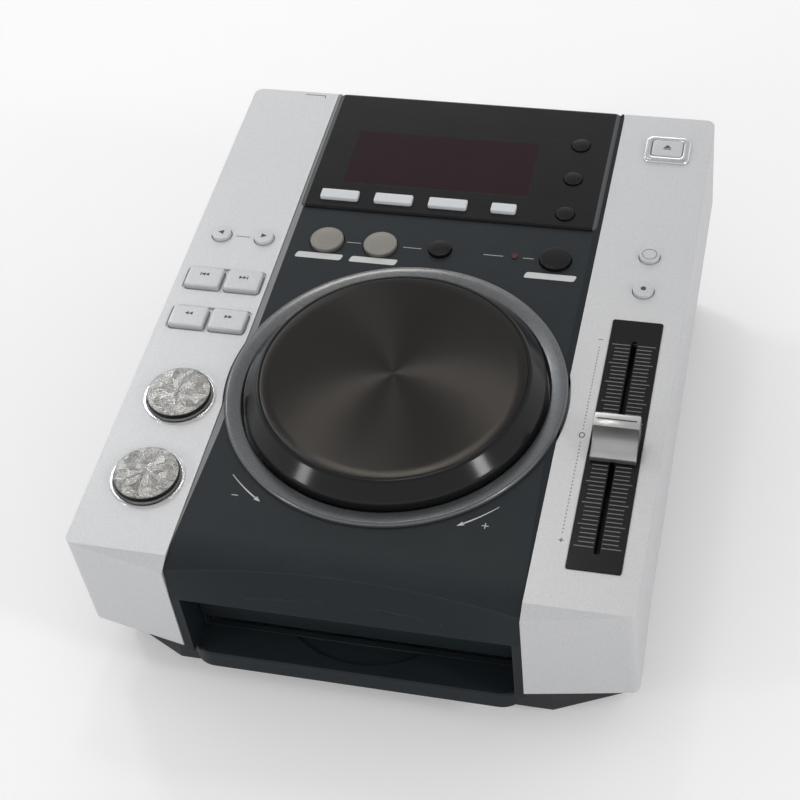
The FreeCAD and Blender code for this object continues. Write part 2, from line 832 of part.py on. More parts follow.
def fader_knob():
    """The wide cap: a flat back band, a hollowed front face and a thin stem in the slot."""
    plate_top = fader_plate_thickness - fader_plate_seat
    low = plate_top + knob_lift
    top = low + knob_height
    back = fader_rest_y + knob_length / 2.0
    front = fader_rest_y - knob_length / 2.0
    x0 = fader_x - knob_width / 2.0
    points = {
        "back_low": Vector(x0, back, low),
        "back_high": Vector(x0, back - 0.8, top - 1.0),
        "crown": Vector(x0, back - 1.8, top),
        "band": Vector(x0, back - 5.0, top - 0.5),
        "hollow": Vector(x0, fader_rest_y - 0.9, top - 4.6),
        "toe": Vector(x0, front + 1.0, top - 5.4),
        "toe_low": Vector(x0, front, top - 6.6),
        "front_low": Vector(x0, front, low),
    }
    order = ["back_low", "back_high", "crown", "band"]
    edges = []
    for first, second in zip(order, order[1:]):
        edges.append(Part.LineSegment(points[first], points[second]).toShape())
    edges.append(Part.Arc(points["band"], points["hollow"], points["toe"]).toShape())
    for first, second in (("toe", "toe_low"), ("toe_low", "front_low"), ("front_low", "back_low")):
        edges.append(Part.LineSegment(points[first], points[second]).toShape())
    cap = Part.Face(Part.Wire(edges)).extrude(Vector(knob_width, 0, 0))
    stem = box(fader_x - stem_width / 2.0, fader_x + stem_width / 2.0, fader_rest_y - stem_length / 2.0,
               fader_rest_y + stem_length / 2.0, -cover_wall - fader_body_height + 2.5, low + 0.5)
    return on_deck(joined(cap, [stem]))


def loop_lamp():
    return on_deck(post(*lamp_place, lamp_radius - 0.1, -board_depth, 0.4))


# Boards under the keys, each with a switch under each stem

def key_board(x0, x1, y0, y1, keys):
    low = -board_depth - board_thickness
    board = box(x0, x1, y0, y1, low, -board_depth)
    half = switch_side / 2.0
    switches = []
    for key in keys:
        x, y = key[0], key[1]
        switches.append(box(x - half, x + half, y - half, y + half, -board_depth, -board_depth + switch_height))
    return on_deck(joined(board, switches))


def cover_key_boards():
    """One narrow board under the keys of each side cover."""
    keys = list(left_round_keys.values()) + list(left_square_keys.values()) + list(left_big_keys.values())
    board = key_board(cover_x(-103.0), cover_x(-73.0), 21.0 * depth_scale, 184.0 * depth_scale, keys)
    left = board.cut(post(-cheek_screw_x, cheek_screw_y[0], boss_radius + 1.0, 0, 200))
    keys = list(right_round_keys.values()) + [eject_key]
    right = key_board(cover_x(75.0), cover_x(95.5), 152.0 * depth_scale, 262.0 * depth_scale, keys)
    return Part.makeCompound([left, right])


def control_board():
    keys = list(loop_keys.values()) + list(panel_round_keys.values()) + list(panel_bar_keys.values())
    half = half_console - 3.7
    return key_board(-half, half, 167.0 * depth_scale, 262.0 * depth_scale, keys)


# Disc mechanism

def cross_bar(radius, x0, x1, y, z):
    """A round bar along x."""
    return Part.makeCylinder(radius, x1 - x0, Vector(x0, y, z), Vector(1, 0, 0))


def long_bar(radius, x, y0, y1, z):
    """A round bar along y."""
    return Part.makeCylinder(radius, y1 - y0, Vector(x, y0, z), Vector(0, 1, 0))


def loader_base():
    """A pressed floor with openings and rod tabs, and the two side plates that stand on it."""
    half = loader_half_width
    top = -loader_floor
    under = top - sheet
    sled_front = sled_rest_y - sled_length / 2.0
    tabs = []
    for y in (sled_front - rod_reach, loader_y1 - sheet):
        for side in (-1, 1):
            x = side * rod_x
            tabs.append(box(x - tab_half, x + tab_half, y, y + sheet, -rod_drop - 4.0, under + 0.2))
    floor = joined(box(-half, half, loader_y0, loader_y1, under, top), tabs)
    roller_half = roller_half_length + roller_room
    roller_side = roller_radius + roller_room
    cutters = [box(-roller_half, roller_half, roller_y - roller_side, roller_y + roller_side, under - 1, top + 1)]
    cutters.append(cross_bar(journal_radius + running_gap, -half - 1, half + 1, roller_y, -roller_drop))
    cutters.append(post(0, spindle_y, spindle_room, under - 1, top + 1))
    cutters.append(box(-lens_half, lens_half, sled_front - 1.0, loader_y1 - 4.0, under - 1, top + 1))
    for side in (-1, 1):
        cutters.append(long_bar(rod_radius, side * rod_x, spindle_y, loader_y1 + 1, -rod_drop))
    parts = [floor.cut(cutters)]
    for x in (-half, half - sheet):
        plate = box(x, x + sheet, loader_y0, loader_y1, top, -loader_wall_top)
        parts.append(plate.cut(cutters))
    return on_deck(Part.makeCompound(parts))


def disc_guide():
    """The plate over the disc, with two stiffening ribs."""
    half = loader_half_width - sheet
    front = mouth_back + mouth_wall
    back = loader_y1 - 8.0
    top = -guide_under + guide_thickness
    ribs = []
    for x in (-guide_rib_x, guide_rib_x):
        ribs.append(box(x - 1, x + 1, front, back, -guide_under, top + guide_rib))
    return on_deck(joined(box(-half, half, front, back, -guide_under, top), ribs))


def feed_roller():
    """The rubber roller that draws the disc in, thinner in its middle, with steel journals."""
    half = roller_half_length
    end = loader_half_width - 0.2
    profile = [
        (0, -end),
        (journal_radius, -end),
        (journal_radius, -half),
        (roller_radius, -half),
        (roller_radius - roller_waist, 0),
        (roller_radius, half),
        (journal_radius, half),
        (journal_radius, end),
        (0, end),
    ]
    roller = turned(profile)
    roller.rotate(Vector(0, 0, 0), Vector(0, 1, 0), 90)
    roller.translate(Vector(0, roller_y, -roller_drop))
    return on_deck(roller)


def spindle_motor():
    under = -loader_floor - sheet
    can = post(0, spindle_y, motor_radius, under - motor_height, under)
    bore = post(0, spindle_y, journal_radius + running_gap, under - motor_height + 2.0, under + 1)
    return on_deck(can.cut(bore))


def turntable():
    """The small platter with its centring cone, on the motor's shaft."""
    low = -loader_floor + 0.6
    seat = low + platter_height
    foot = -loader_floor - sheet - motor_height + 2.5
    profile = [
        (0, foot),
        (journal_radius, foot),
        (journal_radius, low),
        (platter_radius, low),
        (platter_radius, seat),
        (7.4, seat),
        (6.6, seat + 1.6),
        (0, seat + 1.9),
    ]
    return on_deck(turned(profile, 0, spindle_y))


def sled_rods():
    start = sled_rest_y - sled_length / 2.0 - rod_reach
    return on_deck(Part.makeCompound([long_bar(rod_radius, side * rod_x, start, loader_y1, -rod_drop)
                                      for side in (-1, 1)]))


def pickup_sled():
    """The carriage with the laser lens, running on two rods."""
    y0 = sled_rest_y - sled_length / 2.0
    y1 = y0 + sled_length
    body = box(-rod_x - 4, rod_x + 4, y0, y1, -rod_drop - 3.5, -rod_drop + 3.0)
    tower = box(4.0 - lens_half, lens_half - 4.0, y0 + 4, y1 - 4, -rod_drop + 2.8, -loader_floor + 1.4)
    lens = post(0, sled_rest_y, 3.0, -loader_floor, -loader_floor + 2.6)
    bores = [long_bar(rod_radius + running_gap, side * rod_x, y0 - 1, y1 + 1, -rod_drop) for side in (-1, 1)]
    return on_deck(joined(body, [tower, lens]).cut(bores))


# Base pan, rear panel and what they carry, in the desk frame

def pan_outline(inset, z):
    half = pan_half_width - inset
    front = pan_front + inset
    chamfer_x = pan_front_half - inset * 0.2
    back = pan_front + pan_corner_back + inset * 0.6
    points = [
        (-chamfer_x, front),
        (chamfer_x, front),
        (half, back),
        (half, pan_rear - inset),
        (-half, pan_rear - inset),
        (-half, back),
    ]
    return Part.makePolygon([Vector(x, y, z) for x, y in points + points[:1]])


def base_pan():
    """The folded steel pan: its walls rise inside the covers and step down under the lip."""
    tall = deck_front_height + 40.0
    outer = Part.Face(pan_outline(0.0, foot_height)).extrude(Vector(0, 0, tall))
    inner = Part.Face(pan_outline(pan_sheet, pan_floor)).extrude(Vector(0, 0, tall))
    shape = outer.cut(inner)
    above = deck_slab(-pan_wall_drop, far)
    beside = cheek_inner + cover_wall * inner_wall_share + seam
    middle = on_deck(box(-beside, beside, -far, 40, -slot_floor - lip_thickness, far))
    rear = box(-far, far, pan_rear - pan_sheet - 0.1, far, pan_floor + 6.0, far)
    shape = without(shape, [above, middle, rear])
    pillars = []
    for x in (6.0 - loader_half_width, loader_half_width - 6.0):
        for y in (loader_y0 + 29.4, loader_y1 - 12.0):
            column = post(x, y, 4.0, pan_floor - 0.2, deck_front_height)
            pillars.append(column.cut(deck_slab(-loader_floor - sheet, far)))
    for x in board_pillar_columns:
        for y in board_pillar_rows:
            pillars.append(post(x, y, 3.0, pan_floor - 0.2, pan_floor + board_stand))
    shape = shape.fuse(pillars)
    holes = []
    for side in (-1, 1):
        for y in cheek_screw_y:
            holes.append(post(side * cheek_screw_x, y, screw_radius + 0.3, 0, pan_floor + 1))
    vents = []
    for row in range(vent_count):
        y = vent_y0 + row * vent_pitch
        vents.append(rounded_block(0, y, vent_length, vent_width, vent_width * 0.45, 0, pan_floor + 1))
    return shape.cut(holes + vents).removeSplitter()


def rubber_feet():
    feet = []
    for x in (-foot_x, foot_x):
        for y in (foot_y0, foot_y1):
            profile = [(0, 0.8), (foot_radius - 3.0, 0.8), (foot_radius - 3.0, 0), (foot_radius - 0.8, 0)]
            feet.append(turned(profile + [(foot_radius, foot_height), (0, foot_height)], x, y))
    return Part.makeCompound(feet)


def housing_screws():
    screws = []
    for side in (-1, 1):
        for y in cheek_screw_y:
            x = side * cheek_screw_x
            head = turned([(0, foot_height - 1.8), (screw_head_radius - 0.8, foot_height - 1.8),
                           (screw_head_radius, foot_height - 0.8), (screw_head_radius, foot_height),
                           (0, foot_height)], x, y)
            shank = post(x, y, screw_radius, foot_height - 0.5, pan_floor + 10.0)
            screws.append(joined(head, [shank]))
    return Part.makeCompound(screws)


def rear_block(x, z, width, height, y0, y1):
    """A block along y, centred on x and z."""
    return box(x - width / 2.0, x + width / 2.0, y0, y1, z - height / 2.0, z + height / 2.0)


def rear_panel():
    """The upright sheet at the back, with a hole for each connector."""
    front = rear_face - pan_sheet
    half = pan_half_width - pan_sheet
    plate = box(-half, half, front, rear_face, pan_floor, rear_panel_height)
    before = front - cut_over
    behind = rear_face + cut_over
    side = power_side + 2.0 * key_gap
    cutters = [long_bar(phono_radius, x, before, behind, z) for x, z in phono_places]
    x, z = control_jack_place
    cutters.append(long_bar(control_jack_radius, x, before, behind, z))
    cutters.append(rear_block(*inlet_place, inlet_width, inlet_height, before, behind))
    cutters.append(rear_block(power_x, power_z, side, side, before, behind))
    return without(plate, cutters)


def signal_jacks():
    """Three phono jacks and the small control jack."""
    jacks = []
    body_front = rear_face - jack_body
    body_back = rear_face - pan_sheet
    tip = rear_face + phono_reach
    for x, z in phono_places:
        shell = long_bar(phono_radius, x, rear_face - 6.0, tip, z)
        nut = long_bar(phono_radius + phono_nut, x, rear_face, rear_face + 1.6, z)
        body = rear_block(x, z, 12.0, 12.0, body_front, body_back)
        jacks.append(joined(shell, [nut, body]).cut(long_bar(phono_bore, x, tip - 9.0, tip, z)))
    x, z = control_jack_place
    tube = long_bar(control_jack_radius, x, rear_face - 4.0, rear_face + 2.0, z)
    body = rear_block(x, z, 10.0, 10.0, body_front, body_back)
    jacks.append(joined(tube, [body]).cut(long_bar(control_jack_bore, x, rear_face - 9.0, rear_face + 3.0, z)))
    return Part.makeCompound(jacks)


def mains_inlet():
    """The two-pin mains socket with its recess and pins."""
    x, z = inlet_place
    recess_front = rear_face - inlet_recess
    body = rear_block(x, z, inlet_width, inlet_height, rear_face - 16.0, rear_face)
    flange = rear_block(x, z, inlet_width + 2.0 * inlet_flange, inlet_height + 2.0 * inlet_flange, rear_face,
                        rear_face + inlet_flange)
    recess = rear_block(x, z, inlet_width - 4.0, inlet_height - 5.0, recess_front, rear_face + 3.0)
    shell = joined(body, [flange]).cut(recess)
    pins = []
    for side in (-0.5, 0.5):
        pins.append(long_bar(inlet_pin_radius, x + side * inlet_pin_pitch, recess_front - 0.5, rear_face - 1.5, z))
    return joined(shell, pins)


def power_key():
    return rear_block(power_x, power_z, power_side, power_side, rear_face - power_hold, rear_face + power_reach)


def power_switch_body():
    """The switch behind the power key, open to the rear over the key's travel."""
    outside = power_side + 6.0
    hollow = power_side + 2.0 * key_gap
    body = rear_block(power_x, power_z, outside, outside, rear_face - 22.0, rear_face - pan_sheet)
    front = rear_face - power_hold - power_travel - 0.3
    return body.cut(rear_block(power_x, power_z, hollow, hollow, front, rear_face))


def board_y(share):
    """A place along the inner boards: 0 at their front edge, 1 at their rear edge."""
    return board_y0 + share * (board_y1 - board_y0)


def board_x(share):
    """A place across the main board: 0 at its left edge, 1 at its right edge."""
    return -board_side + share * (main_board_x1 + board_side)


def main_board():
    """The big board over the pan's rear half, with its chips and capacitors."""
    low = pan_floor + board_stand
    top = low + board_thickness
    chips = [(0.19, 0.34, 0.32, 0.55, 2.2), (0.47, 0.62, 0.27, 0.5, 2.2), (0.73, 0.82, 0.32, 0.48, 2.0)]
    socket = (0.11, 0.27, 0.75, 0.89, 6.0)
    parts = [box(board_x(x0), board_x(x1), board_y(y0), board_y(y1), top, top + height)
             for x0, x1, y0, y1, height in chips + [socket]]
    parts += [post(board_x(share), board_y(0.2), 2.6, top, top + 7.0) for share in (0.86, 0.905, 0.95)]
    return joined(box(-board_side, main_board_x1, board_y0, board_y1, low, top), parts)


def power_board():
    """The power supply: its board, a transformer and the smoothing capacitors."""
    low = pan_floor + board_stand
    top = low + board_thickness
    board = box(power_board_x0, board_side, board_y0, board_y1, low, top)
    core_x0 = power_board_x0 + 6.0
    core_x1 = board_side - 8.0
    parts = [box(core_x0 + 4.0, core_x1 - 4.0, board_y(0.34), board_y(0.68), top, top + 24.0)]
    parts.append(box(core_x0, core_x1, board_y(0.39), board_y(0.64), top, top + 18.0))
    parts += [post(power_board_x0 + 12.0 + 14.0 * i, board_y(0.16), 5.0, top, top + 16.0) for i in range(3)]
    return joined(board, parts)


def build_nodes():
    nodes["base_pan"] = base_pan()
    nodes["rear_panel"] = rear_panel()
    nodes["rubber_feet"] = rubber_feet()
    nodes["housing_screws"] = housing_screws()
    nodes["left_cover"] = left_cheek()
    nodes["right_cover"] = right_cheek()
    nodes["console_cover"] = console_cover()
    nodes["display_panel"] = display_panel()
    nodes["display_window"] = display_window()
    nodes["display_module"] = display_module()
    nodes["jog_well"] = jog_well()
    nodes["jog_bearing"] = jog_bearing()
    nodes["slot_frame"] = slot_frame()
    nodes["loading_lip"] = loading_lip()
    nodes["key_rings"] = key_rings()
    nodes["eject_frame"] = eject_frame()
    nodes["fader_plate"] = fader_plate()
    nodes["fader_body"] = fader_body()
    nodes["loop_lamp"] = loop_lamp()
    nodes["cover_key_boards"] = cover_key_boards()
    nodes["control_board"] = control_board()
    nodes["main_board"] = main_board()
    nodes["power_board"] = power_board()
    nodes["loader_base"] = loader_base()
    nodes["disc_guide"] = disc_guide()
    nodes["spindle_motor"] = spindle_motor()
    nodes["sled_rods"] = sled_rods()
    nodes["mains_inlet"] = mains_inlet()
    nodes["signal_jacks"] = signal_jacks()
    nodes["power_switch_body"] = power_switch_body()
    nodes["jog_wheel"] = jog_wheel()
    nodes["jog_plate"] = jog_plate()
    nodes["jog_shaft"] = jog_shaft()
    nodes["fader_knob"] = fader_knob()
    nodes["turntable"] = turntable()
    nodes["feed_roller"] = feed_roller()
    nodes["pickup_sled"] = pickup_sled()
    nodes["power_key"] = power_key()
    for name, (x, y, r) in list(left_round_keys.items()) + list(right_round_keys.items()):
        nodes[name] = on_deck(round_key(x, y, r, key_proud, cover_wall))
    for name, (x, y, r) in left_big_keys.items():
        nodes[name] = on_deck(round_key(x, y, r, big_key_proud, cover_wall, 0.6))
    for name, (x, y, w, d) in left_square_keys.items():
        nodes[name] = on_deck(square_key(x, y, w, d, key_proud, cover_wall))
    x, y, w, d = eject_key
    nodes["eject_key"] = on_deck(square_key(x, y, w, d, key_proud, cover_wall, 1.6))
    for name, (x, y, r) in loop_keys.items():
        nodes[name] = on_deck(round_key(x, y, r, key_proud, console_plate, 0.3))
    for name, (x, y, r) in panel_round_keys.items():
        nodes[name] = on_deck(round_key(x, y, r, panel_key_proud, console_plate, 0.2))
    for name, (x, y, w, d) in panel_bar_keys.items():
        nodes[name] = on_deck(square_key(x, y, w, d, panel_key_proud + 0.4, console_plate, 0.8))


def write_nodes():
    """Centres the player over the origin and writes one file for each node."""
    whole = Part.makeCompound(list(nodes.values())).optimalBoundingBox(False, False)
    shift = Vector(-(whole.XMin + whole.XMax) / 2.0, -(whole.YMin + whole.YMax) / 2.0, -whole.ZMin)
    os.makedirs("parts", exist_ok=True)
    for name, shape in nodes.items():
        shape.translate(shift)
        shape.exportStep("parts/" + name + ".step")
        print(name, "valid", shape.isValid(), "solids", len(shape.Solids), "volume", round(shape.Volume, 1))
    print("size", whole.XLength, whole.YLength, whole.ZLength, "shift", shift)


build_nodes()
write_nodes()
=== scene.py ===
import json
import math

import bmesh
import bpy
import numpy as np
from bpy.props import FloatProperty, FloatVectorProperty, IntProperty, PointerProperty
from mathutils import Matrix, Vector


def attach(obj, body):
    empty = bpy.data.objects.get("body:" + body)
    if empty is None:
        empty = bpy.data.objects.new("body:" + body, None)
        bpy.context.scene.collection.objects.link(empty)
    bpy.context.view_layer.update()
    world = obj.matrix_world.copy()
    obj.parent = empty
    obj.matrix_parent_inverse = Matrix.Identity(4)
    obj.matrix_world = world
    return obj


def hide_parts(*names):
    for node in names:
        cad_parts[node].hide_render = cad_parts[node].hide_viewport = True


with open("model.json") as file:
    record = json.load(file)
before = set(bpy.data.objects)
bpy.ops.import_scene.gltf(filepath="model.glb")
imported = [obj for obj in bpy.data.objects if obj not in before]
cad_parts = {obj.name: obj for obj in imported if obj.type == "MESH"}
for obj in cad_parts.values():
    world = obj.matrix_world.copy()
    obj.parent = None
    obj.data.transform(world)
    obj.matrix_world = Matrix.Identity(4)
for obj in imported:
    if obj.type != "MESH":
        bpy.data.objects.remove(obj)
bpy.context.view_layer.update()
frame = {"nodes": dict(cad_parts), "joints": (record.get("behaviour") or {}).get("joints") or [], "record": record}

bl_info = {
    "name": "Tabletop Disc Player",
    "version": (1, 0, 0),
    "blender": (4, 5, 0),
    "location": "View3D > Sidebar > Disc Player",
    "description": "Builds the wheel, keys, fader knob, marks and finishes of a tabletop disc player",
    "category": "Object",
}

# The deck leans forward. Places on it are in millimetres: across from its middle, back from its
# front edge, and out from its surface.
JOINTS = {joint["name"]: joint for joint in frame["joints"]}
ACROSS = np.array((1.0, 0.0, 0.0))
BACK = np.array(JOINTS["fader_slide"]["axis"])
OUT = np.array(JOINTS["jog_spin"]["axis"])
WHEEL_Y = 93.5
ORIGIN = np.array(JOINTS["jog_spin"]["pos_m"]) - WHEEL_Y * 0.001 * BACK
LEAN = math.atan2(BACK[2], BACK[1])

FADER_X = 91.0
PLATE_TOP = 0.4
COVER_WALL = 2.5
CONSOLE_WALL = 3.0
CONSOLE_SIDE = 67.7
PANEL_SIDE, PANEL_REACH, PANEL_END = 64.5, 68.0, 272.2
WINDOW_LINE = 209.6
INK_LOW = -0.02

# A key's stem goes down to its switch, and its flange lies under the wall that it comes through.
STEM_FOOT, STEM_RADIUS = -9.2, 1.8
FLANGE_WIDE, FLANGE_GAP, FLANGE_LOW = 0.6, 0.3, 1.5
KEY_PROUD = 1.8

# Radius, proud, wall under the key, dome, slot
COVER_KEY = (4.3, KEY_PROUD, COVER_WALL, 0.12, "key_silver")
LOOP_KEY = (7.4, KEY_PROUD, CONSOLE_WALL, 0.5, "key_translucent")
PANEL_KEY = (4.0, 2.2, CONSOLE_WALL, 0.2, "panel_black")
LOOP_IN_X, LOOP_OUT_X, LOOP_Y = -48.9, -24.9, 174.8
ROUND_KEYS = {
    "folder_back_key": (-96.6, 172.6, *COVER_KEY),
    "folder_forward_key": (-77.1, 172.6, *COVER_KEY),
    "tempo_range_key": (90.7, 182.4, *COVER_KEY),
    "master_tempo_key": (90.7, 161.8, *COVER_KEY),
    "loop_in_key": (LOOP_IN_X, LOOP_Y, *LOOP_KEY),
    "loop_out_key": (LOOP_OUT_X, LOOP_Y, *LOOP_KEY),
    "reloop_key": (1.5, 175.2, 4.8, KEY_PROUD, CONSOLE_WALL, 0.3, "panel_black"),
    "beat_loop_key": (51.7, 175.4, 6.7, KEY_PROUD, CONSOLE_WALL, 0.3, "panel_black"),
    "text_key": (51.5, 248.5, *PANEL_KEY),
    "time_key": (51.5, 225.8, *PANEL_KEY),
    "auto_cue_key": (51.5, 202.9, *PANEL_KEY),
}
START_X, CUE_Y, PLAY_Y = -86.6, 77.8, 35.1
START_WALL, START_BRIM = 11.8, 1.5
# Across, back, signs from left to right
SQUARE_KEYS = {
    "track_back_key": (-96.2, 144.8, "bar back back"),
    "track_forward_key": (-78.6, 144.8, "on on bar"),
    "search_back_key": (-96.2, 121.2, "back back"),
    "search_forward_key": (-78.6, 121.2, "on on"),
}
SIGN_WIDTH = {"bar": 0.5, "back": 1.75, "on": 1.75}
# Across, back, width, depth
BAR_KEYS = {
    "effect_left_key": (-49.8, 202.7, 17.2, 5.6),
    "effect_middle_key": (-25.2, 202.7, 17.2, 5.6),
    "effect_right_key": (-0.6, 202.7, 17.2, 5.6),
    "hold_key": (24.4, 202.7, 11.0, 5.2),
}
DISC_KEY = (90.0, 251.0)

COLOUR = {"min": 0.0, "max": 1.0, "subtype": "COLOR"}
SHARE = {"min": 0.0, "max": 1.0, "subtype": "FACTOR"}


class WheelSizes(bpy.types.PropertyGroup):
    softness: FloatProperty(
        name="Corner softness", description="Reach of the wheel's rounded corners",
        default=0.0005, min=0.0001, max=0.001, precision=5, unit="LENGTH")
    turns: IntProperty(name="Points round", description="Points round the wheel's edge",
                       default=256, min=64, max=512)
    lathe: FloatProperty(
        name="Lathe lines", description="Share of the plate's shine drawn out by its turned lines",
        default=0.86, **SHARE)
    gloss: FloatVectorProperty(
        name="Wheel colour", description="Colour of the wheel's gloss black moulding",
        default=(0.012, 0.012, 0.013), **COLOUR)
    plate: FloatVectorProperty(
        name="Plate colour", description="Colour of the turned plate on the wheel",
        default=(0.034, 0.032, 0.030), **COLOUR)


class KeySizes(bpy.types.PropertyGroup):
    softness: FloatProperty(
        name="Edge softness", description="Reach of the keys' rounded top edges",
        default=0.0005, min=0.0001, max=0.0006, precision=5, unit="LENGTH")
    turns: IntProperty(name="Points round", description="Points round a round key",
                       default=72, min=24, max=128)
    groove: FloatProperty(
        name="Ring depth", description="Depth of the fine rings in the two pale loop keys",
        default=0.00008, min=0.0, max=0.0003, precision=5, unit="LENGTH")
    silver: FloatVectorProperty(
        name="Silver keys", description="Colour of the painted silver keys",
        default=(0.60, 0.61, 0.62), **COLOUR)
    pale: FloatVectorProperty(
        name="Pale keys", description="Colour of the white bar keys",
        default=(0.66, 0.68, 0.70), **COLOUR)
    smoky: FloatVectorProperty(
        name="Loop keys", description="Colour of the two smoky pale loop keys",
        default=(0.24, 0.225, 0.20), **COLOUR)
    crushed: FloatVectorProperty(
        name="Start keys", description="Colour of the crushed metal of the two large keys",
        default=(0.32, 0.315, 0.305), **COLOUR)


class MarkSizes(bpy.types.PropertyGroup):
    line: FloatProperty(
        name="Line width", description="Width of a printed line",
        default=0.00035, min=0.0001, max=0.001, precision=5, unit="LENGTH")
    film: FloatProperty(
        name="Ink height", description="How far the ink stands on the surface",
        default=0.00005, min=0.00001, max=0.0001, precision=6, unit="LENGTH")
    pale: FloatVectorProperty(
        name="Pale ink", description="Colour of the marks on the dark console",
        default=(0.60, 0.61, 0.61), **COLOUR)
    dark: FloatVectorProperty(
        name="Dark ink", description="Colour of the marks on the silver covers",
        default=(0.05, 0.05, 0.055), **COLOUR)
    grey: FloatVectorProperty(
        name="Grey ink", description="Colour of the tick lines on the fader's plate",
        default=(0.20, 0.20, 0.20), **COLOUR)


class CaseColours(bpy.types.PropertyGroup):
    silver: FloatVectorProperty(
        name="Silver covers", description="Colour of the two side covers' paint",
        default=(0.64, 0.645, 0.655), **COLOUR)
    console: FloatVectorProperty(
        name="Console", description="Colour of the blue-black console",
        default=(0.011, 0.016, 0.0195), **COLOUR)
    panel: FloatVectorProperty(
        name="Display panel", description="Colour of the near-black display panel",
        default=(0.006, 0.006, 0.007), **COLOUR)
    pan: FloatVectorProperty(
        name="Base", description="Colour of the textured base pan and rear panel",
        default=(0.022, 0.022, 0.024), **COLOUR)
    softness: FloatProperty(
        name="Edge softness", description="Reach of the soft edges on the case",
        default=0.0004, min=0.0001, max=0.001, precision=5, unit="LENGTH")
    dust: FloatProperty(name="Dust", description="Amount of fine dust on the surfaces",
                        default=0.12, **SHARE)


class StageSizes(bpy.types.PropertyGroup):
    lens: FloatProperty(name="Lens", description="Focal length of the camera in millimetres",
                        default=78.0947, min=20.0, max=200.0)
    floor: FloatVectorProperty(name="Floor", description="Colour of the pale floor",
                               default=(0.88, 0.875, 0.885), **COLOUR)
    room: FloatProperty(name="Room light", description="Level of the even light from all round",
                        default=0.74, min=0.0, max=2.0)
    lamps: FloatProperty(name="Lamp level", description="Level of the soft lamps",
                         default=1.0, min=0.0, max=5.0)


def mm(length):
    return length * 1000.0


def to_world(points):
    """A deck place (across, back, out) in mm is the origin plus each number times its direction."""
    points = np.asarray(points, float)
    return ORIGIN + 0.001 * (points[..., 0:1] * ACROSS + points[..., 1:2] * BACK
                             + points[..., 2:3] * OUT)


def softened(corners, reach, steps=6):
    """A closed run of corners, each replaced by a curve that leaves one side and joins the next at
    the same distance: (1-t)^2 times the leaving point, 2t(1-t) times the corner, t^2 times the
    joining point."""
    corners = np.asarray(corners, float)
    before, after = np.roll(corners, 1, 0) - corners, np.roll(corners, -1, 0) - corners
    lengths = np.linalg.norm(before, axis=1), np.linalg.norm(after, axis=1)
    reach = np.broadcast_to(reach, lengths[0].shape)
    cut = np.minimum(reach, 0.45 * np.minimum(*lengths))[:, None]
    leave = corners + before / lengths[0][:, None] * cut
    join = corners + after / lengths[1][:, None] * cut
    t = np.linspace(0.0, 1.0, steps)[:, None, None]
    curve = (1 - t) ** 2 * leave + 2 * t * (1 - t) * corners + t**2 * join
    return curve.transpose(1, 0, 2).reshape(-1, 2)


def turned(profile, centre, turns):
    """Turns a closed (radius, height) profile about a line out of the deck: across = x + r cos a,
    back = y + r sin a."""
    profile = np.asarray(profile, float)
    profile = np.concatenate([profile, profile[:1]])
    a = np.linspace(0.0, 2 * np.pi, turns, endpoint=False)
    r, z = profile[:, 0:1], profile[:, 1:2]
    return np.stack([centre[0] + r * np.cos(a), centre[1] + r * np.sin(a), z + 0 * a], -1)


def domed(radius, edge, proud, dome, rows=15):
    """A dome's profile from its edge to its middle: height = proud - dome * (r / radius)^2."""
    r = np.linspace(edge, 0.0, rows)
    return np.stack([r, proud - dome * (r / radius) ** 2], -1)


def outline(half_x, half_y, corner, steps=8):
    """Points round a rectangle with round corners: each corner's centre plus the corner's radius
    times (cos a, sin a)."""
    a = (np.arange(4)[:, None] * np.pi / 2 + np.linspace(0, np.pi / 2, steps)).ravel()
    side_x, side_y = np.repeat([1, -1, -1, 1], steps), np.repeat([1, 1, -1, -1], steps)
    return np.stack([side_x * (half_x - corner) + corner * np.cos(a),
                     side_y * (half_y - corner) + corner * np.sin(a)], -1)


def lofted(sections, centre, steps=8, crown=0.0):
    """Carries a rounded rectangle through rows of (half width, half depth, corner, height, share of
    the crown). The crown adds share * crown * (1 - (y / half depth)^2) to the height."""
    half_x, half_y, corner, height, share = np.asarray(sections, float).T[:, :, None]
    flat = outline(half_x, half_y, corner, steps)
    z = height + share * crown * (1 - (flat[..., 1] / half_y.max()) ** 2)
    return np.stack([centre[0] + flat[..., 0], centre[1] + flat[..., 1], z], -1)


def prism(points, low, high):
    """A flat shape's middle joined to every edge point, above and below: a closed thin block."""
    points = np.asarray(points, float)
    middle = np.broadcast_to(points.mean(0), points.shape)
    rows = [(middle, low), (points, low), (points, high), (middle, high)]
    return np.stack([np.concatenate([p, np.full((len(p), 1), z)], 1) for p, z in rows])


def capped(loops):
    """Closes both ends of a run of loops, each with the mean of its last loop."""
    ends = [np.broadcast_to(loops[i].mean(0), (1, *loops.shape[1:])) for i in (0, -1)]
    return np.concatenate([ends[0], loops, ends[1]])


def ribbon(path, width, low, high):
    """A line of ink: each point of the path moved half a width to both sides, along the path's
    own normal."""
    path = np.asarray(path, float)
    along = np.gradient(path, axis=0)
    along /= np.linalg.norm(along, axis=1)[:, None]
    half = np.broadcast_to(width, (len(path),))[:, None] / 2
    side = np.stack([-along[:, 1], along[:, 0]], 1) * half
    return capped(np.stack([np.c_[path + sign * side, np.full(len(path), z)]
                            for sign, z in ((1, low), (1, high), (-1, high), (-1, low))], 1))


def arrow_head(tip, angle, length, width, low, high):
    """A triangle with its point at tip, facing angle: the tip and two corners a length back."""
    c, s = math.cos(angle), math.sin(angle)
    back = np.array([[0, 0], [-length, width / 2], [-length, -width / 2]])
    return prism(back @ np.array([[c, s], [-s, c]]) + tip, low, high)


def bar(centre, width, depth, low, high):
    """A rectangle of ink round its centre."""
    return prism(outline(width / 2, depth / 2, min(width, depth) * 0.08, 2) + centre, low, high)


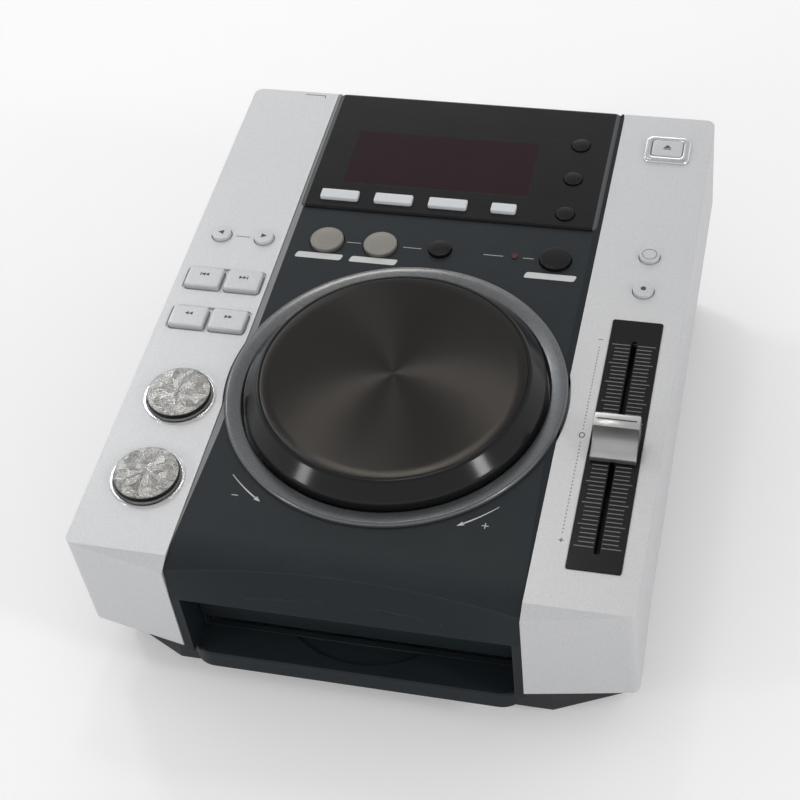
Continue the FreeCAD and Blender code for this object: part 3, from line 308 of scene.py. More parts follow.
def plus_sign(centre, size, line, low, high):
    """Two crossed bars, one a little prouder, so that no two faces share a plane."""
    return [bar(centre, size, line, low, high), bar(centre, line, size, low, high + 0.003)]


def arc_path(centre, radius, start, end, count=24, tall=1.0):
    """Points on an ellipse: centre + radius (cos a, tall sin a), between two angles in degrees."""
    a = np.radians(np.linspace(start, end, count))
    return np.stack([centre[0] + radius * np.cos(a), centre[1] + radius * tall * np.sin(a)], -1)


def piece(name, grids, body, slot, stands_for=(), sharp=32.0, polar=None):
    """Joins grids of deck points, each closed round its columns, into one mesh with merged doubles
    and outward faces. polar gives a centre for a UV map of angle and distance round it."""
    points, faces, start = [], [], 0
    for grid in grids:
        rows, columns = grid.shape[:2]
        label = np.arange(rows * columns).reshape(rows, columns) + start
        label = np.concatenate([label, label[:, :1]], 1)
        faces.append(np.stack([label[:-1, :-1], label[:-1, 1:], label[1:, 1:], label[1:, :-1]],
                              -1).reshape(-1, 4))
        points.append(grid.reshape(-1, 3))
        start += rows * columns
    mesh = bpy.data.meshes.new(name)
    mesh.from_pydata(to_world(np.concatenate(points)).tolist(), [], np.concatenate(faces).tolist())
    work = bmesh.new()
    work.from_mesh(mesh)
    bmesh.ops.remove_doubles(work, verts=work.verts, dist=1.5e-6)
    bmesh.ops.dissolve_degenerate(work, edges=work.edges, dist=1e-7)
    bmesh.ops.recalc_face_normals(work, faces=work.faces)
    work.to_mesh(mesh)
    work.free()
    mesh.shade_smooth()
    mesh.set_sharp_from_angle(angle=math.radians(sharp))
    if polar is not None:
        polar_map(mesh, polar)
    item = bpy.data.objects.new(name, mesh)
    bpy.context.scene.collection.objects.link(item)
    item.data.materials.append(finish(slot))
    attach(item, body)
    if stands_for:
        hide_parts(*stands_for)
    return item


def polar_map(mesh, centre):
    """Each face corner's u is its angle round the centre over a full turn, kept on the same side of
    the seam as its face, and v is its distance from the centre in centimetres."""
    corner = np.zeros(len(mesh.loops), np.int32)
    mesh.loops.foreach_get("vertex_index", corner)
    place = np.zeros(len(mesh.vertices) * 3, np.float32)
    mesh.vertices.foreach_get("co", place)
    place = (place.reshape(-1, 3) - ORIGIN) * 1000.0
    x, y = (place @ ACROSS - centre[0])[corner], (place @ BACK - centre[1])[corner]
    sizes = np.zeros(len(mesh.polygons), np.int32)
    mesh.polygons.foreach_get("loop_total", sizes)
    face = np.repeat(np.arange(len(sizes)), sizes)
    near = np.arctan2(np.bincount(face, y) / sizes, np.bincount(face, x) / sizes)[face]
    turn = (np.arctan2(y, x) - near + np.pi) % (2 * np.pi) - np.pi
    angle = np.where(np.hypot(x, y) < 1e-3, near, near + turn)
    layer = mesh.uv_layers.new(name="turning")
    uv = np.stack([angle / (2 * np.pi), np.hypot(x, y) / 10.0], -1)
    layer.data.foreach_set("uv", uv.astype(np.float32).ravel())


def rgba(colour):
    """A colour with its fourth number, or a socket as it is."""
    return colour if isinstance(colour, bpy.types.NodeSocket) else (*colour, 1.0)


class Bench:
    """Adds nodes to one tree. A value that is a socket is joined, and any other is set."""

    def __init__(self, tree):
        self.tree = tree

    def feed(self, node, inputs):
        for key, value in inputs.items():
            if isinstance(value, bpy.types.NodeSocket):
                self.tree.links.new(value, node.inputs[key])
            else:
                node.inputs[key].default_value = value
        return node

    def add(self, kind, inputs=None, **settings):
        node = self.tree.nodes.new("ShaderNode" + kind)
        for key, value in settings.items():
            setattr(node, key, value)
        return self.feed(node, inputs or {})

    def group(self, maker, **inputs):
        node = self.tree.nodes.new("ShaderNodeGroup")
        node.node_tree = maker()
        return self.feed(node, inputs).outputs

    def math(self, operation, a, b=0.0, c=0.0, clamp=False):
        node = self.add("Math", {0: a, 1: b, 2: c}, operation=operation, use_clamp=clamp)
        return node.outputs[0]

    def times(self, a, b, clamp=False):
        return self.math("MULTIPLY", a, b, clamp=clamp)

    def times_plus(self, a, b, c):
        return self.math("MULTIPLY_ADD", a, b, c)

    def plus(self, a, b, clamp=False):
        return self.math("ADD", a, b, clamp=clamp)

    def minus(self, a, b):
        return self.math("SUBTRACT", a, b)

    def over(self, a, b):
        return self.math("GREATER_THAN", a, b)

    def under(self, a, b):
        return self.math("LESS_THAN", a, b)

    def ramp(self, value, low, high, at_low=0.0, at_high=1.0):
        return self.add("MapRange", {"Value": value, "From Min": low, "From Max": high,
                                     "To Min": at_low, "To Max": at_high}).outputs[0]

    def noise(self, place, scale, detail, roughness=0.5, distortion=0.0):
        return self.add("TexNoise", {"Vector": place, "Scale": scale, "Detail": detail,
                                     "Roughness": roughness,
                                     "Distortion": distortion}).outputs["Fac"]

    def facing_up(self):
        return self.add("SeparateXYZ", {0: self.add("NewGeometry").outputs["Normal"]}).outputs["Z"]

    def blend(self, factor, a, b, kind="MIX"):
        return self.add("Mix", {0: factor, 6: rgba(a), 7: rgba(b)}, data_type="RGBA",
                        blend_type=kind).outputs[2]

    def shade(self, colour, tone):
        grey = self.add("CombineColor", {0: tone, 1: tone, 2: tone}).outputs[0]
        return self.blend(1.0, colour, grey, "MULTIPLY")

    def raised(self, height, distance, normal):
        return self.add("Bump", {"Height": height, "Distance": distance, "Normal": normal,
                                 "Strength": 1.0}).outputs[0]


def shared_group(name, outputs, **inputs):
    """Lets a function fill a shader group that every material shares. The group has these outputs
    and inputs, and those called Place and Normal are vectors. It is built when first needed."""

    def wrap(fill):
        def tree():
            if name in bpy.data.node_groups:
                return bpy.data.node_groups[name]
            made = bpy.data.node_groups.new(name, "ShaderNodeTree")
            for side, labels in (("INPUT", inputs), ("OUTPUT", outputs)):
                for label in labels:
                    kind = "Vector" if label in ("Place", "Normal") else "Float"
                    socket = made.interface.new_socket(label, in_out=side,
                                                       socket_type="NodeSocket" + kind)
                    if side == "INPUT" and inputs[label] is not None:
                        socket.default_value = inputs[label]
            given = made.nodes.new("NodeGroupInput").outputs
            out = made.nodes.new("NodeGroupOutput").inputs
            for label, result in zip(outputs, fill(Bench(made), given)):
                made.links.new(result, out[label])
            return made

        return tree

    return wrap


@shared_group("deck place", ("Place", "Across", "Back", "Out"))
def deck_place(bench, given):
    """Object coordinates as deck millimetres: scaled by 1000, turned back by the lean, and moved."""
    start = -1000.0 * np.array([ACROSS @ ORIGIN, BACK @ ORIGIN, OUT @ ORIGIN])
    place = bench.add("Mapping", {
        "Vector": bench.add("TexCoord").outputs["Object"], "Location": start.tolist(),
        "Rotation": (-LEAN, 0, 0), "Scale": (1000, 1000, 1000)}).outputs[0]
    return place, *bench.add("SeparateXYZ", {0: place}).outputs


@shared_group("edge wear", ("Normal", "Edge"), Radius=0.0003)
def edge_wear(bench, given):
    """A rounded normal near edges, and a mask of where it leaves the flat one."""
    soft = bench.add("Bevel", {"Radius": given["Radius"]}, samples=4).outputs[0]
    flat = bench.add("NewGeometry").outputs["Normal"]
    same = bench.add("VectorMath", {0: soft, 1: flat}, operation="DOT_PRODUCT").outputs["Value"]
    return soft, bench.times(bench.minus(1.0, same), 6.0, clamp=True)


@shared_group("fine grain", ("Height", "Tone"), Place=None, Size=0.3)
def fine_grain(bench, given):
    """A moulded or painted surface: a fine noise as its height, and a tone that a slow noise joins."""
    fine = bench.noise(given["Place"], bench.math("DIVIDE", 1.0, given["Size"]), 2.0, 0.6)
    slow = bench.noise(given["Place"], 0.035, 4.0, 0.55)
    return fine, bench.plus(bench.times(fine, 0.6), bench.times(slow, 0.4))


@shared_group("paint fleck", ("Tone", "Height"), Place=None, Size=0.25)
def paint_fleck(bench, given):
    """Small flakes in silver paint: a random tone for each tiny cell, and its tilt as a height."""
    rate = bench.math("DIVIDE", 1.0, given["Size"])
    cells = bench.add("TexVoronoi", {"Vector": given["Place"], "Scale": rate}).outputs
    return bench.add("SeparateColor", {0: cells["Color"]}).outputs[0], cells["Distance"]


@shared_group("dust", ("Mask",), Place=None, Amount=0.1)
def dust(bench, given):
    """Dust: a cloudy mask broken by specks, stronger where a surface faces up."""
    cloud = bench.noise(given["Place"], 0.06, 5.0, 0.7)
    specks = bench.ramp(bench.noise(given["Place"], 2.2, 2.0), 0.62, 0.74)
    amount = bench.times(given["Amount"], bench.math("MAXIMUM", bench.facing_up(), 0.15))
    body = bench.times_plus(specks, 0.7, bench.times(cloud, 0.35))
    return (bench.times(body, amount, clamp=True),)


@shared_group("round place", ("Radius", "Angle", "Tone"), Across=0.0, Back=0.0, Lines=8.0)
def round_place(bench, given):
    """Distance and angle round a centre on the deck, and a tone that changes with distance alone."""
    deck = bench.group(deck_place)
    x = bench.minus(deck["Across"], given["Across"])
    y = bench.minus(deck["Back"], given["Back"])
    radius = bench.math("SQRT", bench.plus(bench.times(x, x), bench.times(y, y)))
    lines = bench.add("TexNoise", {"W": bench.times(radius, given["Lines"]), "Scale": 1.0,
                                   "Detail": 3.0}, noise_dimensions="1D")
    return radius, bench.math("ARCTAN2", y, x), lines.outputs["Fac"]


class Look:
    """A finish on its way: its bench, shader, deck places, colour, roughness, height and normal."""

    def __init__(self, **parts):
        self.__dict__.update(parts)


DUST_COLOUR = (0.62, 0.61, 0.59)
MICRON = 0.000001


def coat(name, colour, rough, metal=0.0, size=0.3, depth=10, spread=0.08, tint=0.1, worn=None,
         radius=0.0003, dusty=0.1, clear=0.0, shine=0.5, make=None):
    """A finish: its colour changes a little with the grain, is worn at soft edges and takes some
    dust, its roughness follows the same grain, and the grain is a height, depth micrometres deep.
    make may add more before the end."""
    material = bpy.data.materials.new(name)
    material.use_nodes = True
    bench, shader = Bench(material.node_tree), material.node_tree.nodes["Principled BSDF"]
    deck = bench.group(deck_place)
    grain = bench.group(fine_grain, Place=deck["Place"], Size=size)
    edges = bench.group(edge_wear, Radius=radius)
    paint = bench.shade(colour, bench.times_plus(grain["Tone"], 2 * tint, 1.0 - tint))
    if worn is not None:
        paint = bench.blend(bench.times(edges["Edge"], worn[1]), paint, worn[0])
    mask = bench.group(dust, Place=deck["Place"], Amount=dusty)["Mask"]
    look = Look(bench=bench, shader=shader, deck=deck, colour=paint, height=grain["Height"],
                rough=bench.times_plus(grain["Tone"], 2 * spread, rough - spread),
                depth=depth * MICRON, normal=edges["Normal"])
    if make is not None:
        make(look)
    bench.feed(shader, {
        "Base Color": bench.blend(mask, look.colour, DUST_COLOUR),
        "Roughness": bench.plus(look.rough, bench.times(mask, 0.4), clamp=True),
        "Normal": bench.raised(look.height, look.depth, look.normal),
        "Metallic": metal, "Coat Weight": clear, "Coat Roughness": 0.08,
        "Specular IOR Level": shine})
    return material


def flecked(look):
    """Silver paint: each flake a little lighter or darker, and slightly tilted."""
    bench = look.bench
    flake = bench.group(paint_fleck, Place=look.deck["Place"], Size=0.32)
    look.colour = bench.shade(look.colour, bench.times_plus(flake["Tone"], 0.13, 0.935))
    look.height = bench.plus(look.height, flake["Height"])


def console_edge(look):
    """The console's long edges slope away over a strip that narrows to nothing at the front crease:
    height = -0.42 * (|across| - side + width), with width from 0 at 4 mm back to 2.6 at 62 mm. The
    strip's top on the left side alone is painted lighter grey: a painted highlight of the light from the left."""
    bench, deck = look.bench, look.deck
    width = bench.ramp(deck["Back"], 4.0, 62.0, 0.0, 2.6)
    reach = bench.minus(bench.math("ABSOLUTE", deck["Across"]), bench.minus(CONSOLE_SIDE, width))
    slope = bench.times(bench.math("MAXIMUM", reach, 0.0), -0.42)
    strip = bench.over(reach, 0.0)
    look.normal = bench.raised(slope, 0.001, look.normal)
    look.rough = bench.minus(look.rough, bench.times(strip, 0.12))
    # Painted highlight: only the top of the left strip is drawn lighter grey, as if lit from the left; the right
    # strip is not.
    left = bench.times(bench.times(strip, bench.under(deck["Across"], 0.0)), 0.6)
    painted_highlight_left = bench.times(left, bench.over(deck["Out"], -0.3))
    look.colour = bench.blend(painted_highlight_left, look.colour, (0.42, 0.42, 0.43))


def panel_edge(look):
    """The panel's sides and rear slope away, 0.7 mm down for each mm out, and a thin line crosses it
    in front of the window. The sloping rim is painted light grey: a painted highlight on the slope."""
    bench, deck = look.bench, look.deck
    aside = bench.math("ABSOLUTE", deck["Across"])
    reach = bench.times(bench.math("MAXIMUM", bench.minus(aside, PANEL_SIDE), 0.0),
                        bench.under(aside, PANEL_REACH))
    line = bench.under(bench.math("ABSOLUTE", bench.minus(deck["Back"], WINDOW_LINE)), 0.16)
    rear = bench.math("MAXIMUM", bench.minus(deck["Back"], PANEL_END), 0.0)
    out = bench.plus(reach, rear)
    height = bench.times_plus(line, -0.12, bench.times(out, -0.7))
    look.normal = bench.raised(height, 0.001, look.normal)
    # Painted highlight: the sloping sides and rear of the panel are drawn light grey.
    rim = bench.times(bench.over(out, 0.0), 0.6)
    look.colour = bench.blend(rim, look.colour, (0.16, 0.165, 0.17))


def lathe_turned(look):
    """The plate's turned lines: a tone and a height that change with distance from the middle."""
    bench = look.bench
    ring = bench.group(round_place, Across=0.0, Back=WHEEL_Y, Lines=9.0)
    look.colour = bench.shade(look.colour, bench.times_plus(ring["Tone"], 0.5, 0.75))
    look.height = bench.plus(bench.times(look.height, 0.2), ring["Tone"])
    tangent = bench.add("Tangent", direction_type="UV_MAP", uv_map="turning").outputs[0]
    lathe = bpy.context.scene.player_wheel.lathe
    bench.feed(look.shader, {"Anisotropic": lathe, "Tangent": tangent})


def crushed(look):
    """The two large keys: wedges and crumpled cells round the middle, each with its own tone and
    height, and a rim painted near-black: painted shade on the cap's rounded side, which is the same metal as its
    top."""
    bench, deck = look.bench, look.deck
    front = bench.under(deck["Back"], (CUE_Y + PLAY_Y) / 2)
    middle = bench.minus(CUE_Y, bench.times(front, CUE_Y - PLAY_Y))
    ring = bench.group(round_place, Across=START_X, Back=middle, Lines=3.0)
    wedge = bench.add("CombineXYZ", {0: bench.times(ring["Angle"], 2.4),
                                     1: bench.times(ring["Radius"], 0.22), 2: front}).outputs[0]
    cells = bench.add("TexVoronoi", {"Vector": wedge, "Scale": 1.1}).outputs
    crumple = bench.noise(deck["Place"], 0.5, 6.0, 0.7, 1.4)
    tint = bench.add("SeparateColor", {0: cells["Color"]}).outputs[0]
    tone = bench.times_plus(tint, 0.75, bench.ramp(crumple, 0.34, 0.68, 0.35, 1.0))
    # Painted shade: the cap's outer side is drawn near-black, though it is the same metal as the top.
    rim = bench.over(ring["Radius"], START_WALL + START_BRIM - 0.4)
    look.colour = bench.blend(rim, bench.shade(look.colour, tone), (0.012, 0.011, 0.011))
    look.height = bench.plus(bench.times(crumple, 0.9), bench.times(cells["Distance"], 0.4))
    look.depth = 250 * MICRON
    bench.feed(look.shader, {"Anisotropic": 0.5})


def ring_lines(look):
    """The pale loop keys: faint rings round each key's middle, and a darker edge."""
    bench, deck = look.bench, look.deck
    second = bench.over(deck["Across"], (LOOP_IN_X + LOOP_OUT_X) / 2)
    middle = bench.times_plus(second, LOOP_OUT_X - LOOP_IN_X, LOOP_IN_X)
    ring = bench.group(round_place, Across=middle, Back=LOOP_Y, Lines=2.0)
    wave = bench.math("SINE", bench.times(ring["Radius"], 5.2))
    look.colour = bench.shade(look.colour, bench.times_plus(wave, 0.07, 0.95))
    edge = bench.times(bench.over(ring["Radius"], LOOP_KEY[0] - 0.5), 0.55)
    look.colour = bench.blend(edge, look.colour, (0.05, 0.05, 0.045))


def brushed_face(look):
    """The fader knob's hollow face: fine lines across, and painted shade where it stands steeper, darker the less
    it faces up.
    """
    bench, deck = look.bench, look.deck
    streak = bench.add("CombineXYZ", {0: bench.times(deck["Across"], 0.05),
                                      1: bench.times(deck["Back"], 5.0),
                                      2: bench.times(deck["Out"], 5.0)}).outputs[0]
    lines = bench.noise(streak, 1.4, 3.0)
    # Painted shade: the steeper part of the face is drawn darker, as light from above falls less on it.
    steep_painted_shade = bench.ramp(bench.facing_up(), 0.80, 0.35)
    look.colour = bench.shade(look.colour, bench.times_plus(lines, 0.24, 0.86))
    look.colour = bench.blend(bench.times(steep_painted_shade, 0.75), look.colour, (0.10, 0.096, 0.09))
    look.height = lines
    bench.feed(look.shader, {"Anisotropic": 0.4})


def finishes():
    """What each of the record's slots looks like, in the words of coat."""
    scene = bpy.context.scene
    case, keys, wheel = scene.player_case, scene.player_keys, scene.player_wheel
    soft, dusty = case.softness, case.dust
    bright = (0.85, 0.85, 0.85)
    return {
        "silver_paint": dict(colour=case.silver, rough=0.42, metal=0.35, size=0.35, depth=12,
                             tint=0.03, worn=((0.80, 0.80, 0.80), 0.35), radius=soft,
                             dusty=dusty * 0.3, make=flecked),
        "console_blue_black": dict(colour=case.console, rough=0.42, size=0.22, depth=12,
                                   tint=0.12, worn=((0.10, 0.11, 0.12), 0.5), radius=soft,
                                   dusty=dusty * 0.35, shine=0.2, make=console_edge),
        "panel_black": dict(colour=case.panel, rough=0.24, size=0.4, depth=2,
                            worn=((0.06, 0.06, 0.065), 0.4), radius=soft * 0.7,
                            dusty=dusty * 0.2, shine=0.22, make=panel_edge),
        "pan_black": dict(colour=case.pan, rough=0.6, size=0.5, depth=50, tint=0.2,
                          worn=((0.12, 0.12, 0.12), 0.4), radius=soft, dusty=dusty),
        "rubber": dict(colour=(0.02, 0.02, 0.02), rough=0.8, size=0.4, depth=30, tint=0.25,
                       dusty=dusty * 1.5),
        "zinc_steel": dict(colour=(0.55, 0.56, 0.57), rough=0.38, metal=1.0, size=2.5, depth=4,
                           tint=0.15),
        "smoked_window": dict(colour=(0.017, 0.004, 0.007), rough=0.16, size=0.8, depth=1,
                              tint=0.15, radius=0.0002, dusty=dusty * 0.15, shine=0.22),
        "display_glass": dict(colour=(0.03, 0.03, 0.03), rough=0.2, size=0.6, depth=1,
                              dusty=0.05),
        "satin_ring": dict(colour=(0.13, 0.138, 0.146), rough=0.27, metal=0.6, size=0.2, depth=3,
                           tint=0.08, worn=((0.22, 0.22, 0.23), 0.5), dusty=dusty * 0.5,
                           clear=0.35),
        "chrome_trim": dict(colour=(0.72, 0.72, 0.73), rough=0.2, metal=1.0, size=0.5, depth=2,
                            tint=0.05),
        "black_plastic": dict(colour=(0.018, 0.018, 0.019), rough=0.45, tint=0.15),
        "lamp_red": dict(colour=(0.07, 0.012, 0.012), rough=0.15, size=0.5, depth=1),
        "board_green": dict(colour=(0.04, 0.14, 0.07), rough=0.4, size=1.5, tint=0.25),
        "rod_steel": dict(colour=(0.62, 0.62, 0.63), rough=0.2, metal=1.0, size=0.4, depth=2),
        "nickel": dict(colour=(0.66, 0.64, 0.58), rough=0.25, metal=1.0, size=0.5, depth=2),
        "jog_gloss": dict(colour=wheel.gloss, rough=0.14, size=0.5, depth=1.5, spread=0.02,
                          worn=((0.05, 0.05, 0.05), 0.3), radius=0.0002, dusty=dusty * 0.05,
                          shine=0.2),
        "brushed_black": dict(colour=wheel.plate, rough=0.24, metal=0.9, size=0.25, depth=4,
                              spread=0.03, tint=0.08, radius=0.0002, dusty=dusty * 0.08,
                              make=lathe_turned),
        "knob_silver": dict(colour=(0.58, 0.58, 0.58), rough=0.3, metal=0.7, depth=6, tint=0.05,
                            worn=(bright, 0.6), radius=0.0004, dusty=0.02, make=brushed_face),
        "roller_rubber": dict(colour=(0.05, 0.05, 0.05), rough=0.7, depth=20, tint=0.2),
        "key_silver": dict(colour=keys.silver, rough=0.38, metal=0.3, depth=6, tint=0.03,
                           worn=(bright, 0.4), dusty=0.02, make=flecked),
        "key_white": dict(colour=keys.pale, rough=0.35, depth=4, tint=0.03, worn=(bright, 0.3),
                          dusty=0.03),
        "key_faceted": dict(colour=keys.crushed, rough=0.24, metal=0.85, tint=0.05, dusty=0.03,
                            make=crushed),
        "key_translucent": dict(colour=keys.smoky, rough=0.34, size=0.4, depth=5, tint=0.05,
                                dusty=0.08, clear=0.2, make=ring_lines),
    }


def finish(slot):
    """The material of one of the record's slots, made when it is first needed."""
    name = slot + "_finish"
    if name in bpy.data.materials:
        return bpy.data.materials[name]
    if slot not in finishes():
        raise RuntimeError(f"there is no finish for the slot {slot}")
    return coat(name, **finishes()[slot])


def ink(tone):
    """Printed ink, dark, pale or grey: a slightly mottled film."""
    name = "ink_" + tone
    if name in bpy.data.materials:
        return bpy.data.materials[name]
    colour = getattr(bpy.context.scene.player_marks, tone)
    return coat(name, colour, 0.45, size=0.25, depth=3, tint=0.06, dusty=0.02)


def marks(name, grids, body, slot, tone="dark"):
    item = piece(name, grids, body, slot)
    item.data.materials[0] = ink(tone)
    return item


class DISC_OT_case_finish(bpy.types.Operator):
    """Gives every carried-over part the finish of its slot"""

    bl_idname = "disc_player.case_finish"
    bl_label = "Finish the case"

    def execute(self, context):
        slots = {row["node"]: row["material_slot"] for row in frame["record"]["subparts"]}
        for name, item in frame["nodes"].items():
            material = finish(slots[name])
            if not item.material_slots:
                item.data.materials.append(material)
            for holder in item.material_slots:
                holder.material = material
        return {"FINISHED"}


class DISC_OT_wheel(bpy.types.Operator):
    """The wheel's gloss moulding, its turned plate and the satin ring round its well"""

    bl_idname = "disc_player.wheel"
    bl_label = "Wheel"

    def execute(self, context):
        sizes = context.scene.player_wheel
        soft, middle = mm(sizes.softness), (0.0, WHEEL_Y)
        rim = [(0, 7.5), (0, 9.5), (53.8, 9.5), (53.8, 10.1), (54.7, 10.1), (55.4, 9.6),
               (60.5, 4.1), (61, 3.2), (61, -1.2), (58.8, -1.2), (58.8, 3.2), (52.7, 7.5),
               (9, 7.5), (9, 0), (5, 0), (5, 7.5)]
        reach = 2 * soft * np.array([0, 0, 0, 0.1, 0.3, 0.5, 1, 1, 1] + [0.3] * 7)
        piece("jog_wheel_moulding", [turned(softened(rim, reach), middle, sizes.turns)], "jog",
              "jog_gloss", ["jog_wheel"], sharp=28)
        flat = np.linspace(53.2, 0.0, 14)
        plate = np.concatenate([[(0, 9.52), (53.7, 9.52), (53.7, 9.85), (53.5, 10.04)],
                                np.stack([flat, np.full(14, 10.1)], -1)])
        piece("jog_plate_turned", [turned(plate, middle, sizes.turns)], "jog", "brushed_black",
              ["jog_plate"], polar=middle)
        well = [(69.3, 0), (69.3, 0.8), (68.9, 1.6), (68.1, 1.95), (66.5, 1.7), (62.6, 0.75),
                (62.1, 0.2), (62.1, -4), (9.2, -4), (9.2, -6), (64.1, -6), (64.1, 0)]
        reach = [0, 0.3, 1.2, 1.2, 1.6, 1.6, 0.5, 0.3, 0, 0, 0, 0]
        piece("jog_well_ring", [turned(softened(well, reach), middle, sizes.turns)], "root",
              "satin_ring", ["jog_well"], sharp=50)
        return {"FINISHED"}


def round_key_profile(radius, proud, wall, dome, soft, grooves=(), brim=0.0):
    """From the stem's foot out over the flange, up the cap's wall, round its edge and over its dome.
    A groove takes away depth * exp(-((r - place) / 0.25)^2), and a brim makes the cap wider than
    its wall above the cover."""
    top, low = -wall - FLANGE_GAP, -wall - FLANGE_LOW
    flange, cap = radius + FLANGE_WIDE, radius + brim
    foot = [(0, STEM_FOOT), (STEM_RADIUS, STEM_FOOT), (STEM_RADIUS, low), (flange, low),
            (flange, top), (radius, top)]
    if brim:
        foot += [(radius, 1.1), (cap - 0.15, 1.1), (cap, 1.3)]
    turn = np.linspace(0.0, np.pi / 2, 6)
    edge = cap - soft
    lip = proud - dome * (edge / cap) ** 2
    corner = np.stack([edge + soft * np.cos(turn), lip - soft + soft * np.sin(turn)], -1)
    head = domed(cap, edge, proud, dome)
    for place, depth in grooves:
        head[:, 1] -= depth * np.exp(-((head[:, 0] - place) / 0.25) ** 2)
    return np.concatenate([foot, corner, head[1:]])


class DISC_OT_round_keys(bpy.types.Operator):
    """The small round keys, each with its dome, flange and stem, and the marks on them"""

    bl_idname = "disc_player.round_keys"
    bl_label = "Round keys"

    def execute(self, context):
        sizes = context.scene.player_keys
        for name, (x, y, radius, proud, wall, dome, slot) in ROUND_KEYS.items():
            rings = (0.45, 0.75) if slot == "key_translucent" else ()
            grooves = [(radius * share, mm(sizes.groove)) for share in rings]
            profile = round_key_profile(radius, proud, wall, dome, mm(sizes.softness) * 0.7,
                                        grooves)
            piece(name + "_cap", [turned(profile, (x, y), sizes.turns)], name, slot, [name])
        film = mm(context.scene.player_marks.film)
        high = KEY_PROUD + film
        for name, angle in (("folder_back_key", math.pi), ("folder_forward_key", 0.0)):
            x, y = ROUND_KEYS[name][:2]
            head = arrow_head((x + 1.5 * math.cos(angle), y), angle, 2.6, 2.6, 1.66, high)
            marks(name + "_mark", [head], name, "key_silver")
        dot = prism(arc_path(ROUND_KEYS["master_tempo_key"], 1.15, 0, 345), 1.7, high)
        marks("master_tempo_key_dot", [dot], "master_tempo_key", "key_silver")
        circle = ribbon(arc_path(ROUND_KEYS["tempo_range_key"], 3.0, 0, 360, 49), 0.18, 1.6,
                        1.76 + film)
        marks("tempo_range_key_circle", [circle], "tempo_range_key", "key_silver")
        return {"FINISHED"}


def square_key_rows(half_x, half_y, corner, proud, bevel, wall):
    """Rows from under the flange up the cap's wall, over its bevel and in to the middle. On the
    bevel the inset is bevel (1 - cos a), and the height is proud - bevel (1 - sin a)."""
    top, low = -wall - FLANGE_GAP, -wall - FLANGE_LOW
    flange = (half_x + FLANGE_WIDE, half_y + FLANGE_WIDE, corner)
    rows = [(0, 0, 0, low, 0), (*flange, low, 0), (*flange, top, 0),
            (half_x, half_y, corner, top, 0), (half_x, half_y, corner, proud - bevel, 0)]
    for a in np.linspace(0.0, np.pi / 2, 5)[1:]:
        inset = bevel * (1 - math.cos(a))
        rows.append((half_x - inset, half_y - inset, max(corner - inset, 0.2),
                     proud - bevel + bevel * math.sin(a), 1))
    for share in (0.85, 0.6, 0.3, 0.0):
        rows.append(((half_x - bevel) * share, (half_y - bevel) * share,
                     max(corner - bevel, 0.2) * share, proud, 1))
    return rows


def square_key(name, x, y, shape, wall, slot, crown=0.0):
    """A rectangular key: its cap of (half width, half depth, corner, proud, bevel), and the post
    under it, down to its switch."""
    foot = -wall - 1.2
    stem = turned([(0, STEM_FOOT), (STEM_RADIUS, STEM_FOOT), (STEM_RADIUS, foot), (0, foot)],
                  (x, y), 32)
    cap = lofted(square_key_rows(*shape, wall), (x, y), crown=crown)
    piece(name + "_cap", [cap, stem], name, slot, [name])


class DISC_OT_square_keys(bpy.types.Operator):
    """The four rectangular silver keys and their arrows"""

    bl_idname = "disc_player.square_keys"
    bl_label = "Square keys"

    def execute(self, context):
        heights = 1.7, KEY_PROUD + mm(context.scene.player_marks.film)
        for name, (x, y, signs) in SQUARE_KEYS.items():
            square_key(name, x, y, (7.7, 5.7, 1.2, KEY_PROUD, 0.6), COVER_WALL, "key_silver")
            signs, back = signs.split(), y + 1.2
            across = x - sum(SIGN_WIDTH[sign] for sign in signs) / 2
            grids = []
            for sign in signs:
                if sign == "bar":
                    grids.append(bar((across + 0.25, back), 0.42, 1.9, *heights))
                elif sign == "back":
                    grids.append(arrow_head((across, back), math.pi, 1.7, 1.9, *heights))
                else:
                    grids.append(arrow_head((across + 1.7, back), 0.0, 1.7, 1.9, *heights))
                across += SIGN_WIDTH[sign]
            marks(name + "_arrows", grids, name, "key_silver")
        return {"FINISHED"}


class DISC_OT_bar_keys(bpy.types.Operator):
    """The four pale bar keys on the display panel"""

    bl_idname = "disc_player.bar_keys"
    bl_label = "Bar keys"

    def execute(self, context):
        for name, (x, y, width, depth) in BAR_KEYS.items():
            shape = (width / 2, depth / 2, 0.8, 2.6, 0.45)
            square_key(name, x, y, shape, CONSOLE_WALL, "key_white", crown=0.25)
        return {"FINISHED"}


class DISC_OT_start_keys(bpy.types.Operator):
    """The two large keys of crushed metal and the bright rings round them"""

    bl_idname = "disc_player.start_keys"
    bl_label = "Start keys"

    def execute(self, context):
        soft = mm(context.scene.player_keys.softness) * 1.4
        profile = round_key_profile(START_WALL, 3.6, COVER_WALL, 0.6, soft, brim=START_BRIM)
        band = [(13.5, -0.02), (13.5, 0.3), (13.8, 0.45), (14.8, 0.4), (15.2, 0.15), (15.2, -0.02)]
        band = softened(band, [0, 0.2, 0.2, 0.2, 0.2, 0])
        rings = []
        for name, y in (("cue_key", CUE_Y), ("play_key", PLAY_Y)):
            cap = turned(profile, (START_X, y), 128)
            piece(name + "_cap", [cap], name, "key_faceted", [name])
            rings.append(turned(band, (START_X, y), 128))
        piece("start_key_rings", rings, "root", "chrome_trim", ["key_rings"], sharp=60)
        return {"FINISHED"}


